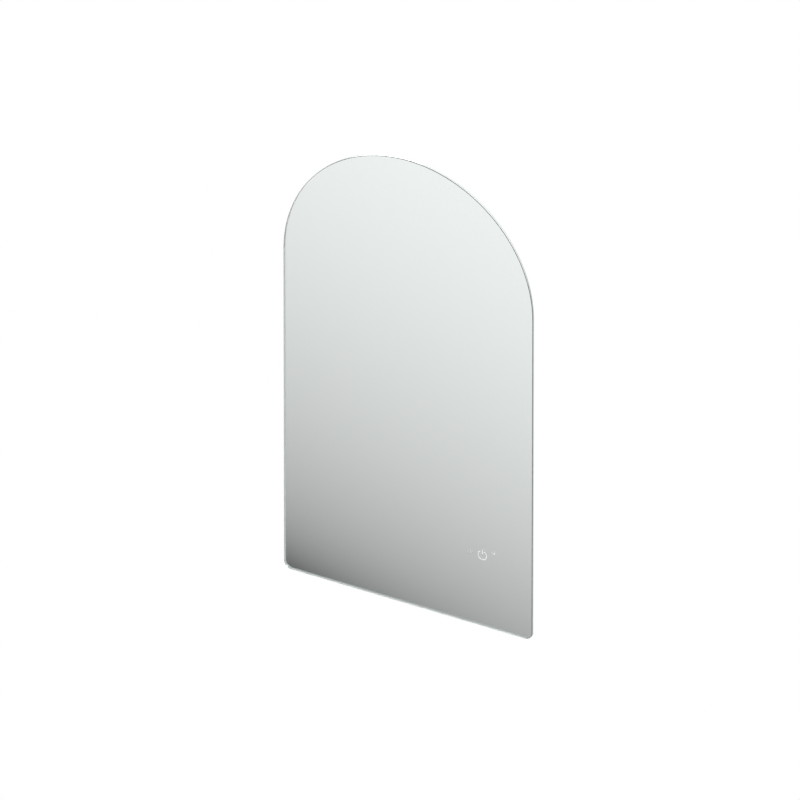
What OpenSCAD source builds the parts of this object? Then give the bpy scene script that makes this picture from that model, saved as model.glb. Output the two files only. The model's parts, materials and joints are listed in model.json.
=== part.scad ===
// Arched, frameless, back-lit bathroom mirror that hangs on a wall cleat.
// It is drawn face up on a bench, X across, Y up the mirror and Z away from the wall,
// and each node is then stood up against the wall plane by hang().

/* [Mirror pane] */
// Width of the glass
pane_w = 500; // [460:10:600]
// Height of the glass to the top of the arch
pane_h = 900; // [860:10:1100]
// Thickness of the glass
pane_t = 5; // [4:1:6]
// Radius of the two lower corners
corner_r = 15; // [12:1:36]
// Ground and polished arris round both faces
arris = 0.8; // [0.4:0.1:1.4]
// Thickness of the silver and its paint
coat_t = 0.2; // [0.15:0.05:0.3]
// Thickness of the safety film behind the silver
film_t = 0.3; // [0.2:0.1:0.5]
// How far the film stays inside the glass edge
film_margin = 4; // [2:1:10]

/* [Frame profile] */
// Distance from the glass edge to the frame's outer face
frame_inset = 40; // [34:1:44]
// Width of the profile, across its front face
profile_w = 22; // [21:0.5:24]
// Depth of the profile, from wall side to glass side
profile_d = 24; // [23:0.5:28]
// Wall of the extrusion
profile_wall = 1.6; // [1.4:0.1:1.8]
// Depth of the light channel from the outer face
channel_depth = 9; // [8:0.5:9.5]
// Height of the two snap lips in the channel
lip_h = 1.2; // [1:0.1:1.4]
// Distance of the snap lips from the outer face
lip_from_face = 1.9; // [1.8:0.1:2.2]
// Length of each arm of a corner or arch key, past the joint
key_arm = 34; // [28:1:40]
// Play of a key in its chamber, each side
key_gap = 0.2; // [0.15:0.05:0.4]
// Diameter of the key grub screws
key_screw_d = 5; // [4:0.5:6]
// Thickness of the foam bonding tape
tape_t = 1; // [0.8:0.1:1.5]
// Width of the foam bonding tape
tape_w = 12; // [8:1:16]
// Height of the rubber wall bumpers
bumper_t = 3; // [2.6:0.1:4]
// Diameter of the rubber wall bumpers
bumper_d = 14; // [10:1:18]

/* [Lighting] */
// Width of the flexible LED tape
led_tape_w = 10; // [8:1:12]
// Thickness of the flexible LED tape
led_tape_t = 0.3; // [0.2:0.1:0.5]
// Distance from one LED to the next
led_pitch = 16.6; // [12:0.1:33]
// Length of an LED package along the tape
led_l = 3.5; // [2.8:0.1:5]
// Width of an LED package across the tape
led_w = 2.8; // [2:0.1:5]
// Height of an LED package
led_h = 0.8; // [0.5:0.1:1.2]
// Wall of the opal diffuser
diffuser_t = 1.5; // [1.2:0.1:1.6]
// Length of the diffuser's snap legs
diffuser_leg = 2.7; // [2.5:0.1:3.2]

/* [Sheet metal] */
// Inside radius of the folds in the cleat, the rail and the tray
fold_r = 1.2; // [0.8:0.1:1.5]

/* [Wall cleat] */
// Length of the cleat on the wall
cleat_l = 250; // [230:5:280]
// Thickness of the cleat's metal
cleat_t = 2; // [1.6:0.1:2.5]
// Height of the flange that lies on the wall
cleat_flange_h = 30; // [26:1:36]
// Gap between the cleat's lip and the wall
cleat_gap = 6; // [5.5:0.1:6.5]
// Height of the cleat's lip above its flange
cleat_lip_h = 20; // [18:0.5:22]
// Distance between the two round screw holes
screw_spacing = 200; // [170:5:215]
// Diameter of the wall screw holes and width of the slots
screw_hole_d = 5.5; // [4.5:0.5:6.5]
// Distance between the two levelling slots
slot_spacing = 100; // [80:5:120]
// Length of a levelling slot, end to end
slot_l = 16; // [12:1:22]
// Height of the arch's spring line above the wall screws
hang_drop = 56; // [50:1:80]

/* [Hanging rail] */
// Thickness of the hanging rail's sheet
rail_t = 1.5; // [1.2:0.1:2]
// Length of the hook that drops behind the cleat
hook_l = 300; // [280:5:310]
// Depth of the hook behind the cleat's lip
hook_drop = 12; // [8:0.5:12]
// Play between the hook and the cleat's lip
hook_gap = 1.25; // [0.8:0.05:1.5]
// Distance from the wall to the rail's web
web_stand = 13.5; // [12:0.5:14]
// How far the rail's web reaches below the wall screws
web_drop = 20; // [17:1:24]
// Diameter of the frame screws
frame_screw_d = 3.9; // [3.5:0.1:4.2]
// Length of a frame screw under its head
frame_screw_l = 7; // [5:0.5:9]
// Distance between the two screws at each end of the rail
rail_screw_pitch = 20; // [14:1:24]

/* [Gear tray] */
// Lower edge of the tray above the glass's lower edge
tray_y = 190; // [180:1:200]
// Height of the tray
tray_h = 100; // [92:1:110]
// Thickness of the tray's sheet
tray_t = 1.5; // [1.2:0.1:2]
// Depth of the tray's folded edges
tray_fold = 11.5; // [9:0.5:13]
// Air gap between the film and the tray
tray_gap = 4; // [3.5:0.1:4.5]
// Distance between the two screws at each end of the tray
tray_screw_pitch = 44; // [40:1:50]

/* [Driver] */
// Length of the driver's case
driver_l = 140; // [130:1:150]
// Width of the driver's case
driver_w = 46; // [42:1:54]
// Height of the driver with its lid
driver_h = 17; // [16:0.5:18]
// Wall of the driver's case and of the junction box
case_wall = 2; // [1.6:0.1:2.4]
// Thickness of the lids
lid_t = 1.6; // [1.4:0.1:2.4]
// Distance from the frame's right leg to the driver's case
driver_from_leg = 70; // [64:1:76]

/* [Junction box] */
// Width of the junction box
box_w = 80; // [74:1:86]
// Height of the junction box up the mirror
box_h = 56; // [52:1:60]
// Depth of the junction box with its lid
box_d = 18; // [17.5:0.5:18.5]
// Gap between the junction box and the driver's mounting ear
box_gap = 30; // [26:1:34]
// Thread diameter of the cable gland
gland_d = 12; // [11:0.5:12]
// Hexagon of the cable gland across its flats
gland_af = 15; // [14.5:0.5:16]
// Hexagon of the gland's locknut across its flats
locknut_af = 13.4; // [13:0.2:13.6]
// Hole through the gland's rubber seal
gland_bore_d = 6.5; // [5:0.1:6.6]
// Length of the gland's rubber seal
seal_l = 6; // [5:0.5:7]

/* [Touch sensor] */
// Gap between the sensor's housing and the frame's right leg
sensor_gap = 3; // [2.5:0.1:8]
// Centre of the touch symbols above the glass's lower edge
sensor_y = 142.5; // [132:0.5:150]
// Distance from one touch symbol to the next
symbol_pitch = 24; // [21:0.5:25]
// Outer radius of the power symbol
symbol_r = 9.5; // [8:0.5:12]
// Stroke of the symbols
symbol_line = 2; // [1:0.1:2.4]
// Height of the brightness mark above the middle of the power symbol
mark_rise = 10; // [8:0.5:11]
// Width of the opal window behind the symbols
window_w = 70; // [66:1:72]
// Height of the opal window
window_h = 34; // [30:1:38]
// Thickness of the opal window
window_t = 1.2; // [1:0.1:2]
// Wall of the sensor's housing
sensor_wall = 1.6; // [1.2:0.1:2]
// Depth of the sensor's housing behind the film
sensor_d = 14; // [13:0.5:16]

/* [Demister] */
// Width of the heating foil
demister_w = 280; // [240:5:300]
// Height of the heating foil
demister_h = 240; // [200:5:260]
// Thickness of the heating foil
demister_t = 0.4; // [0.3:0.1:0.6]
// Distance from the tray to the foil
demister_gap = 28; // [24:1:34]
// Number of passes of the heating track
track_passes = 12; // [8:2:14]
// Width of the heating track
track_w = 3; // [2:0.5:5]

/* [Leads] */
// Diameter of the supply lead inside the mirror
supply_lead_d = 5; // [4:0.2:5.4]
// Diameter of the leads to the LEDs and to the sensor
small_lead_d = 3.4; // [2.8:0.2:3.8]
// Diameter of the demister's lead
demister_lead_d = 2.6; // [2:0.2:3]
// Play of a lead in its hole, on the diameter
lead_gap = 0.5; // [0.4:0.1:1]

/* [Hidden] */
$fn = 96;

eps = 0.01;            // overshoot of a cut past the face it opens
fit = 0.1;             // radial play of a screw in its hole
slack = 0.15;          // play of a snapped or dropped-in moulding, each side

// Heights above the wall plane
frame_back = bumper_t;
frame_front = frame_back + profile_d;
film_back = frame_front + tape_t;
coat_back = film_back + film_t;
glass_back = coat_back + coat_t;

// Plan of the pane and of the frame
pane_r = pane_w / 2;
spring_y = pane_h - pane_r;
frame_r = pane_r - frame_inset;
inner_r = frame_r - profile_w;
hang_y = spring_y - hang_drop;

// Inside of the profile, as distances in from its outer face
chamber_out = channel_depth + profile_wall;
chamber_in = profile_w - profile_wall;

// Wall cleat, as heights above the wall screws
flange_top = cleat_flange_h / 2;
lip_top = flange_top + cleat_lip_h;
lip_lead_in = [1, 0.6];    // chamfer of the lip's rear edge, up and across

// Hanging rail, as heights above the wall
web_back = web_stand;
web_fold = 5;          // depth of the folded edge below the web
hook_front = cleat_gap - hook_gap;
web_shoulder = 8;      // step from the hook's bridge down to the top of the web's ends
tab_reach = 9.5;       // depth of the rail's end tabs
rail_screw_ys = [hang_y - rail_screw_pitch / 2, hang_y + rail_screw_pitch / 2];
tab_screw_z = web_back - (tab_reach + fold_r) / 2;
web_foot = web_drop - rail_t - fold_r;

// Gear tray and what stands on it
tray_front = film_back - tray_gap;
tray_back = tray_front - tray_t;
tray_top = tray_y + tray_h;
tray_mid = tray_y + tray_h / 2;
tray_tab = 13;         // depth of the tray's end tabs
tray_tab_h = 70;
fold_relief = 8;       // gap between a folded edge and the leg beside it
tray_screw_ys = [tray_mid - tray_screw_pitch / 2, tray_mid + tray_screw_pitch / 2];
tray_screw_z = tray_back - (tray_tab + fold_r) / 2;
vent_pitch = 16;
groove_pitch = 9;      // between the grooves in the driver's lid
groove_inset = 9;      // from a groove's ends to the lid's edges

// Driver
driver_right = inner_r - driver_from_leg;
driver_x = driver_right - driver_l;
driver_mid = driver_x + driver_l / 2;
ear_l = 9;
ear_w = 20;
ear_t = 2.5;
board_t = 1.6;
board_end_gap = 12;    // from the board's ends to the outside of the case
post_h = 3;
post_d = 5;
lid_rim = 1.5;
boss_d = 6;
case_screw_d = 2.6;
case_screw_l = 8;
case_r = 4;            // corner radius of the case, the box and their lids
lead_rise = 8;         // middle of the leads above the tray's back, where they enter a case
lead_level = tray_back - lead_rise;
board_top = case_wall + post_h + board_t;
board_l = driver_l - 2 * board_end_gap;
board_x = driver_mid - board_l / 2;
parts_h = driver_h - lid_t - lid_rim - board_top - 0.5;    // room for the parts under the lid
output_size = driver_w / 5;            // screw terminals on the board
transformer_w = 22;
transformer_d = 18;
core_t = 3;
capacitor_d = 8;
capacitor_l = 15;
choke_r = 6;

// Junction box and gland
box_right_x = driver_x - ear_l - box_gap;
box_left_x = box_right_x - box_w;
box_mid_x = (box_left_x + box_right_x) / 2;
box_low_y = tray_mid - box_h / 2;
box_high_y = tray_mid + box_h / 2;
gland_z = (box_d - lid_t + case_wall) / 2;
gland_flange = 4;
gland_thread = 8;
gland_shank = 9;
locknut_t = 3.5;
gland_way_d = gland_bore_d + 1;
seal_od = gland_d - 2.4;
nut_wall = 3.7;        // length of the nut's mouth past the seal
terminal_pitch = 10;
terminal_l = 18;
terminal_h = 12;
terminal_x = box_left_x + 0.35 * box_w;
terminal_gap = 1.6;    // groove between two cells
terminal_base_h = 3;
terminal_bore_d = 3.4;
terminal_screw_d = 4;
terminal_screw_h = 3;
terminal_screw_x = terminal_l / 4 + 0.5;
box_screw_x = 14;      // inset of the box's own screws from its sides
box_screw_y = 12;
box_screws = [[box_left_x + box_screw_x, box_high_y - box_screw_y],
    [box_right_x - box_screw_x, box_low_y + box_screw_y]];

// Touch sensor
sensor_w = window_w + 2 * (slack + sensor_wall);
sensor_h = window_h + 2 * (slack + sensor_wall);
sensor_x = inner_r - sensor_gap - sensor_w / 2;
sensor_ledge = 3;      // width of the ledge that carries the board
window_back = coat_back - window_t;
sensor_back = film_back - sensor_d;
sensor_board_z = window_back - 5;
touch_d = 8;
symbol_places = [[-symbol_pitch, 0], [0, 0], [symbol_pitch, mark_rise]];    // demist, power and brightness

// Demister
demister_y = tray_top + demister_gap;
demister_back = film_back - demister_t;
track_t = 0.4 * demister_t;
demister_hole_x = box_mid_x + box_w / 6;
demister_terminal_x = demister_hole_x - 8;
demister_terminal_size = [24, 12, 4];
track_edge = demister_w / 28;          // margin of the track from the foil's edge
bus_edge = track_edge / 2 - 1;         // margin of the two feeds along the foil's lower edge

// Leads, each from one hole to the next
led_hole_y = tray_mid + 13;
led_hole_z = frame_back + profile_d / 2;
supply_hole_d = supply_lead_d + lead_gap;
small_hole_d = small_lead_d + lead_gap;
demister_hole_d = demister_lead_d + lead_gap;
driver_led_y = tray_mid + 7;
driver_sensor_y = tray_mid - 7;
gland_notch_w = 26;
lead_notch_w = 12;
sensor_lead_z = (sensor_back + sensor_wall + sensor_board_z - board_t) / 2;
demister_lead_z = demister_back - track_t - demister_terminal_size[2] / 2;

// Saddles that hold leads down on the tray
clip_base = 12;
clip_base_t = 1;
clip_l = 6;
clip_wall = 1.2;
clip_play = 0.2;
clip_rise = small_lead_d / 2 + clip_play + clip_wall;
clip_lead_z = tray_back - clip_rise;
led_clip_x = (driver_right + ear_l + inner_r) / 2;
sensor_clip_y = tray_y + 0.16 * tray_h;

function unit(v) = v / norm(v);

// Points of a smooth line through the route's points
function spline_point(a, b, c, d, t) =
    0.5 * ((2 * b) + (c - a) * t + (2 * a - 5 * b + 4 * c - d) * t * t
        + (3 * b - a - 3 * c + d) * t * t * t);
function smooth(p, steps) = let (last = len(p) - 1) concat(
    [for (i = [0 : last - 1]) for (k = [0 : steps - 1])
        spline_point(p[max(i - 1, 0)], p[i], p[i + 1], p[min(i + 2, last)], k / steps)],
    [p[last]]);

// Normals carried along the line without twist
function directions(p) = let (last = len(p) - 1)
    [for (i = [0 : last]) unit(p[min(i + 1, last)] - p[max(i - 1, 0)])];
function carried(t, n, i = 0) = i >= len(t) ? [] :
    let (m = unit(n - (n * t[i]) * t[i])) concat([m], carried(t, m, i + 1));

// Points on a straight stretch of a route, which keeps it square in a hole, clip or terminal
function straight(p, v, steps) = [for (s = steps) p + s * v];

module hang() translate([0, 0, -hang_y]) rotate([90, 0, 0]) children();

// A round lead of diameter d along the route
module lead(route, d, steps = 3, sides = 8) {
    p = smooth(route, steps);
    t = directions(p);
    n = carried(t, abs(t[0][2]) < 0.7 ? [0, 0, 1] : [0, 1, 0]);
    rings = len(p);
    points = [for (i = [0 : rings - 1]) for (k = [0 : sides - 1])
        p[i] + d / 2 * (cos(360 * k / sides) * n[i] + sin(360 * k / sides) * cross(t[i], n[i]))];
    walls = [for (i = [0 : rings - 2]) for (k = [0 : sides - 1])
        let (a = i * sides + k, b = i * sides + (k + 1) % sides)
            each [[a, a + sides, b], [b, a + sides, b + sides]]];
    caps = [[for (k = [0 : sides - 1]) k], [for (k = [sides - 1 : -1 : 0]) (rings - 1) * sides + k]];
    polyhedron(points, concat(walls, caps));
}

// A section drawn in X and Z, extruded up the mirror
module along_y(y0, y1) translate([0, y1, 0]) rotate([90, 0, 0]) linear_extrude(y1 - y0) children();

// A section drawn in Y and Z, extruded across the mirror
module along_x(x0, x1) translate([x0, 0, 0]) rotate([90, 0, 90]) linear_extrude(x1 - x0) children();

module both_sides() {
    children();
    mirror([1, 0, 0]) children();
}

module rounded_rect(w, h, r) {
    square([w - 2 * r, h], center = true);
    square([w, h - 2 * r], center = true);
    for (x = [-1, 1], y = [-1, 1]) translate([x * (w / 2 - r), y * (h / 2 - r)]) circle(r);
}

module slot_2d(l, w) {
    square([l - w, w], center = true);
    for (x = [-1, 1]) translate([x * (l - w) / 2, 0]) circle(w / 2);
}

// Quarter ring where a sheet of thickness t is folded square
module fold_2d(t) intersection() {
    difference() {
        circle(fold_r + t);
        circle(fold_r);
    }
    square(fold_r + t + 1);
}

// Folded sheet that starts along X with one face on Y = 0: each step is its run to the next corner
// of that face and its turn there, 1 to the left or -1 to the right
module folded_2d(t, steps, i = 0, used = 0) {
    turn = steps[i][1];
    reach = turn > 0 ? fold_r + t : -turn * fold_r;
    flat = steps[i][0] - used - reach;
    square([flat, t]);
    if (i < len(steps) - 1) translate([flat, turn * reach]) {
        rotate(turn > 0 ? -90 : 0) fold_2d(t);
        rotate(90 * turn) translate([0, -turn * reach]) folded_2d(t, steps, i + 1, reach);
    }
}

// Sheet folded into a channel of outer width w and depth d, with its web's face on Y = 0
module channel_2d(w, d, t) translate([t - w / 2, -d]) rotate(90)
    folded_2d(t, [[d - t, -1], [w - 2 * t, -1], [d - t, 0]]);

// The pane's outline, drawn in by a margin
module pane_outline(margin) {
    r = pane_r - margin;
    c = max(corner_r - margin, 1);
    translate([0, spring_y]) circle(r);
    translate([-r, margin + c]) square([2 * r, spring_y - margin - c]);
    translate([c - r, margin]) square([2 * (r - c), c]);
    for (x = [-1, 1]) translate([x * (r - c), margin + c]) circle(c);
}

// The frame's outline, drawn in by a margin
module frame_outline(margin) {
    r = frame_r - margin;
    translate([0, spring_y]) circle(r);
    translate([-r, frame_inset + margin]) square([2 * r, spring_y - frame_inset - margin]);
}

// Pan-head screw, its head on z = 0 and its shank down to -l
module pan_screw(d, l) {
    difference() {
        cylinder(d1 = 2 * d, d2 = 1.5 * d, h = 0.6 * d);
        for (a = [0, 90]) rotate(a) translate([-0.6 * d, -0.1 * d, 0.3 * d]) cube([1.2 * d, 0.2 * d, d]);
    }
    translate([0, 0, -l]) cylinder(d = d, h = l);
}

// Countersunk screw, its face on z = 0
module csk_screw(d, l) {
    difference() {
        translate([0, 0, -0.5 * d]) cylinder(d1 = d, d2 = 1.9 * d, h = 0.5 * d);
        for (a = [0, 90]) rotate(a) translate([-0.6 * d, -0.1 * d, -0.25 * d]) cube([1.2 * d, 0.2 * d, d]);
    }
    translate([0, 0, -l]) cylinder(d = d, h = l - 0.5 * d);
}

module csk_hole(d, l) {
    translate([0, 0, -l]) cylinder(d = d + 2 * fit, h = l + eps);
    translate([0, 0, -0.5 * d]) cylinder(d1 = d + 2 * fit, d2 = 1.9 * d + 2 * fit, h = 0.5 * d + eps);
}

// The pane

module pane_section(reach) polygon([
    [0, 0], [reach - arris, 0], [reach, arris],
    [reach, pane_t - arris], [reach - arris, pane_t], [0, pane_t]]);

module mirror_glass() color("lightcyan", 0.5) hang() translate([0, 0, glass_back]) {
    translate([0, spring_y]) rotate_extrude(angle = 180) pane_section(pane_r);
    both_sides() {
        along_y(corner_r, spring_y) pane_section(pane_r);
        translate([pane_r - corner_r, corner_r]) rotate([0, 0, -90])
            rotate_extrude(angle = 90) pane_section(corner_r);
    }
    along_x(corner_r - pane_r, pane_r - corner_r)
        translate([corner_r, 0]) mirror([1, 0]) pane_section(corner_r);
}

// Ring with a gap at the top and a bar in the gap
module power_symbol() {
    difference() {
        circle(symbol_r);
        circle(symbol_r - symbol_line);
        translate([-1.6 * symbol_line, 0]) square([3.2 * symbol_line, symbol_r + 1]);
    }
    translate([-symbol_line / 2, 0.25 * symbol_r]) square([symbol_line, 0.85 * symbol_r]);
}

// Three rising waves
module demist_symbol() {
    rise = 1.1 * symbol_r;
    line = 0.6 * symbol_line;
    function wave(t) = 0.09 * symbol_r * sin(720 * t);
    for (x = [-0.4, 0, 0.4] * symbol_r) translate([x, -rise / 2]) polygon(concat(
        [for (i = [0 : 16]) [wave(i / 16) - line / 2, rise * i / 16]],
        [for (i = [16 : -1 : 0]) [wave(i / 16) + line / 2, rise * i / 16]]));
}

// Small sun: a disc and eight rays
module brightness_symbol() {
    circle(0.22 * symbol_r);
    for (a = [0 : 45 : 315]) rotate(a) translate([0.34 * symbol_r, -0.25 * symbol_line])
        square([0.17 * symbol_r, 0.5 * symbol_line]);
}

module touch_symbols() translate([sensor_x, sensor_y]) {
    translate(symbol_places[0]) demist_symbol();
    translate(symbol_places[1]) power_symbol();
    translate(symbol_places[2]) brightness_symbol();
}

module silver_coat() color("silver") hang() translate([0, 0, coat_back])
    linear_extrude(coat_t) difference() {
        pane_outline(arris + 0.2);
        touch_symbols();
    }

module safety_film() color("lightsteelblue") hang() translate([0, 0, film_back])
    linear_extrude(film_t) difference() {
        pane_outline(film_margin);
        translate([sensor_x, sensor_y]) rounded_rect(window_w + 2 * slack, window_h + 2 * slack, 3);
    }

// The frame

// Section of the extrusion: X runs in from the outer face, Y up from the wall side
module profile_section() {
    cell_h = profile_d - 2 * profile_wall;
    difference() {
        square([profile_w, profile_d]);
        translate([-1, profile_wall]) square([channel_depth + 1, cell_h]);
        translate([chamber_out, profile_wall]) square([chamber_in - chamber_out, cell_h]);
    }
    for (y = [profile_wall, profile_d - profile_wall - lip_h])
        translate([lip_from_face, y]) square([lip_h, lip_h]);
}

// The same section standing on the right leg of the frame
module at_frame_edge(r) translate([r, frame_back]) mirror([1, 0]) children();

// Cuts the foot of the right leg to its mitre
module leg_mitre() linear_extrude(3 * profile_d, center = true) polygon([
    [frame_r + 1, frame_inset - 1], [inner_r - 1, frame_inset + profile_w + 1],
    [inner_r - 1, frame_inset - 1]]);

// Cuts the right end of the bottom piece to its mitre
module end_mitre() linear_extrude(3 * profile_d, center = true) polygon([
    [frame_r + 1, frame_inset - 1], [inner_r - 1, frame_inset + profile_w + 1],
    [frame_r + 1, frame_inset + profile_w + 1]]);

// A part of the right leg, with its mitred foot
module right_leg(from_y = frame_inset) difference() {
    along_y(from_y, spring_y) at_frame_edge(frame_r) children();
    leg_mitre();
}

// A part of the bottom piece, mitred at both ends
module bottom_leg() difference() {
    along_x(-frame_r, frame_r) translate([frame_inset, frame_back]) children();
    both_sides() end_mitre();
}

module arch_leg() translate([0, spring_y]) rotate_extrude(angle = 180) at_frame_edge(frame_r) children();

// Drills across the right leg's inner wall
module leg_hole(y, z, d) translate([inner_r - 1, y, z]) rotate([0, 90, 0])
    cylinder(d = d, h = profile_wall + 2);

module leg_holes() {
    for (y = rail_screw_ys) leg_hole(y, tab_screw_z, frame_screw_d + 2 * fit);
    for (y = tray_screw_ys) leg_hole(y, tray_screw_z, frame_screw_d + 2 * fit);
    leg_hole(key_screw_y, key_screw_z, key_screw_d + 2 * fit);
    leg_hole(spring_y - key_arm / 2, key_screw_z, key_screw_d + 2 * fit);
}

key_screw_y = frame_inset + profile_w + key_arm / 2;
key_screw_x = inner_r - key_arm / 2;
key_screw_z = frame_back + profile_d / 2;

module right_profile() color("lightgrey") hang() difference() {
    right_leg() profile_section();
    leg_holes();
    translate([inner_r - 1, led_hole_y, led_hole_z]) rotate([0, 90, 0])
        cylinder(d = small_hole_d, h = profile_w - channel_depth + 2);
}

module left_profile() color("lightgrey") hang() mirror([1, 0, 0]) difference() {
    right_leg() profile_section();
    leg_holes();
}

module arch_profile() color("lightgrey") hang() difference() {
    arch_leg() profile_section();
    both_sides() translate([0, spring_y]) rotate(arch_key_angle / 2)
        translate([inner_r - 1, 0, key_screw_z]) rotate([0, 90, 0])
            cylinder(d = key_screw_d + 2 * fit, h = profile_wall + 2);
}

module bottom_profile() color("lightgrey") hang() difference() {
    bottom_leg() profile_section();
    both_sides() translate([key_screw_x, frame_inset + profile_w + 1, key_screw_z]) rotate([90, 0, 0])
        cylinder(d = key_screw_d + 2 * fit, h = profile_wall + 2);
}

// Keys that fill the profile's chamber across its joints
key_out = chamber_out + key_gap;
key_in = chamber_in - key_gap;
key_low = frame_back + profile_wall + key_gap;
key_h = profile_d - 2 * (profile_wall + key_gap);
key_screw_l = 6;
arch_key_angle = 180 * key_arm / (PI * (frame_r - profile_w));

module corner_keys() color("darkgrey") hang() both_sides() difference() {
    translate([0, 0, key_low]) linear_extrude(key_h) polygon([
        [frame_r - key_out, frame_inset + key_out],
        [frame_r - key_out, frame_inset + profile_w + key_arm],
        [frame_r - key_in, frame_inset + profile_w + key_arm],
        [frame_r - key_in, frame_inset + key_in],
        [inner_r - key_arm, frame_inset + key_in],
        [inner_r - key_arm, frame_inset + key_out]]);
    translate([inner_r, key_screw_y, key_screw_z]) rotate([0, 90, 0])
        cylinder(d = key_screw_d + 2 * fit, h = key_screw_l + 0.4);
    translate([key_screw_x, frame_inset + profile_w, key_screw_z]) rotate([90, 0, 0])
        cylinder(d = key_screw_d + 2 * fit, h = key_screw_l + 0.4);
}

module arch_keys() color("darkgrey") hang() both_sides() difference() {
    translate([0, 0, key_low]) {
        translate([0, spring_y]) rotate_extrude(angle = arch_key_angle)
            translate([frame_r - key_in, 0]) square([key_in - key_out, key_h]);
        translate([frame_r - key_in, spring_y - key_arm]) cube([key_in - key_out, key_arm, key_h]);
    }
    translate([inner_r, spring_y - key_arm / 2, key_screw_z]) rotate([0, 90, 0])
        cylinder(d = key_screw_d + 2 * fit, h = key_screw_l + 0.4);
    translate([0, spring_y]) rotate(arch_key_angle / 2) translate([inner_r, 0, key_screw_z])
        rotate([0, 90, 0]) cylinder(d = key_screw_d + 2 * fit, h = key_screw_l + 0.4);
}

// Grub screw with a socket, from its outer end at z = 0 down
module grub_screw() translate([0, 0, -key_screw_l]) difference() {
    cylinder(d = key_screw_d, h = key_screw_l);
    translate([0, 0, 0.6 * key_screw_l]) cylinder(d = 0.55 * key_screw_d, h = key_screw_l, $fn = 6);
}

module key_screws() color("dimgrey") hang() both_sides() {
    translate([inner_r, key_screw_y, key_screw_z]) rotate([0, -90, 0]) grub_screw();
    translate([inner_r, spring_y - key_arm / 2, key_screw_z]) rotate([0, -90, 0]) grub_screw();
    translate([key_screw_x, frame_inset + profile_w, key_screw_z]) rotate([-90, 0, 0]) grub_screw();
    translate([0, spring_y]) rotate(arch_key_angle / 2) translate([inner_r, 0, key_screw_z])
        rotate([0, -90, 0]) grub_screw();
}

module bonding_tape() color("white") hang() translate([0, 0, frame_front])
    linear_extrude(tape_t) difference() {
        frame_outline((profile_w - tape_w) / 2);
        frame_outline((profile_w + tape_w) / 2);
    }

module wall_bumpers() color("black") hang() both_sides()
    for (y = [frame_inset + 2 * profile_w, hang_y - 2 * profile_w])
        translate([frame_r - profile_w / 2, y]) difference() {
            cylinder(d = bumper_d, h = bumper_t);
            translate([0, 0, -eps]) cylinder(d = 0.4 * bumper_d, h = 0.4 * bumper_t);
        }

// The lighting in the frame's channel

module led_tape_section() translate([channel_depth - led_tape_t, (profile_d - led_tape_w) / 2])
    square([led_tape_t, led_tape_w]);

// One loop of tape, whose two ends lie beside the lead that feeds it
module led_tape() color("white") hang() difference() {
    union() {
        arch_leg() led_tape_section();
        both_sides() right_leg() led_tape_section();
        bottom_leg() led_tape_section();
    }
    translate([frame_r - channel_depth - 1, led_hole_y + small_lead_d, frame_back]) cube([3, 4, profile_d]);
}

// One LED on the tape, at a distance r from the middle of the tape's loop
module led_chip(r) translate([r + led_tape_t, -led_l / 2, led_hole_z - led_w / 2])
    cube([led_h, led_l, led_w]);

module led_chips() color("khaki") hang() {
    led_r = frame_r - channel_depth;
    arch_count = floor(PI * led_r / led_pitch);
    leg_low = frame_inset + 2 * channel_depth;
    leg_count = floor((spring_y - leg_low) / led_pitch);
    bottom_count = floor((led_r - channel_depth) / led_pitch);
    translate([0, spring_y]) for (i = [0 : arch_count - 1])
        rotate(180 * (i + 0.5) / arch_count) led_chip(led_r);
    both_sides() for (i = [0 : leg_count - 1])
        translate([0, leg_low + (spring_y - leg_low) * (i + 0.5) / leg_count]) led_chip(led_r);
    for (i = [-bottom_count : bottom_count])
        translate([i * led_pitch, frame_inset + channel_depth]) rotate(-90) led_chip(0);
}

// Opal cover that snaps behind the lips: face, two legs and two barbs
module diffuser_section() {
    cell_h = profile_d - 2 * profile_wall;
    leg_in = lip_h + slack;
    leg_t = 1;
    face_out = lip_from_face - 0.2 - diffuser_t;
    translate([face_out, profile_wall + slack]) square([diffuser_t, cell_h - 2 * slack]);
    for (m = [0, 1]) translate([0, m * profile_d]) mirror([0, m]) translate([0, profile_wall]) {
        translate([face_out + diffuser_t - eps, leg_in]) square([diffuser_leg + eps, leg_t]);
        translate([lip_from_face + lip_h + slack, 0.4])
            square([face_out + diffuser_t + diffuser_leg - lip_from_face - lip_h - slack,
                leg_in - 0.4 + eps]);
    }
}

module arch_diffuser() color("whitesmoke") hang() arch_leg() diffuser_section();

module side_diffusers() color("whitesmoke") hang() both_sides() right_leg() diffuser_section();

module bottom_diffuser() color("whitesmoke") hang() bottom_leg() diffuser_section();

// The wall cleat and the rail that hangs on it

module cleat_section() translate([hang_y, 0]) difference() {
    translate([-flange_top, 0])
        folded_2d(cleat_t, [[2 * flange_top, 1], [cleat_gap, -1], [cleat_lip_h, 0]]);
    translate([lip_top, cleat_gap]) polygon([[-lip_lead_in[0], 0], [0, lip_lead_in[1]], [1, lip_lead_in[1]],
        [1, -1], [-lip_lead_in[0], -1]]);
}

module wall_cleat() color("silver") hang() difference() {
    along_x(-cleat_l / 2, cleat_l / 2) cleat_section();
    translate([0, hang_y, -eps]) for (x = [-1, 1]) {
        translate([x * screw_spacing / 2, 0]) cylinder(d = screw_hole_d, h = cleat_t + 2 * eps);
        translate([x * slot_spacing / 2, 0]) linear_extrude(cleat_t + 2 * eps)
            slot_2d(slot_l, screw_hole_d);
    }
}

// Web, bridge over the cleat's lip and the hook behind it
module hook_section() translate([hang_y + rail_t - web_drop, web_back - web_fold]) rotate(90)
    folded_2d(rail_t, [[web_fold, -1], [lip_top + web_drop - rail_t, -1],
        [web_back - hook_front, -1], [hook_drop, 0]]);

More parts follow.
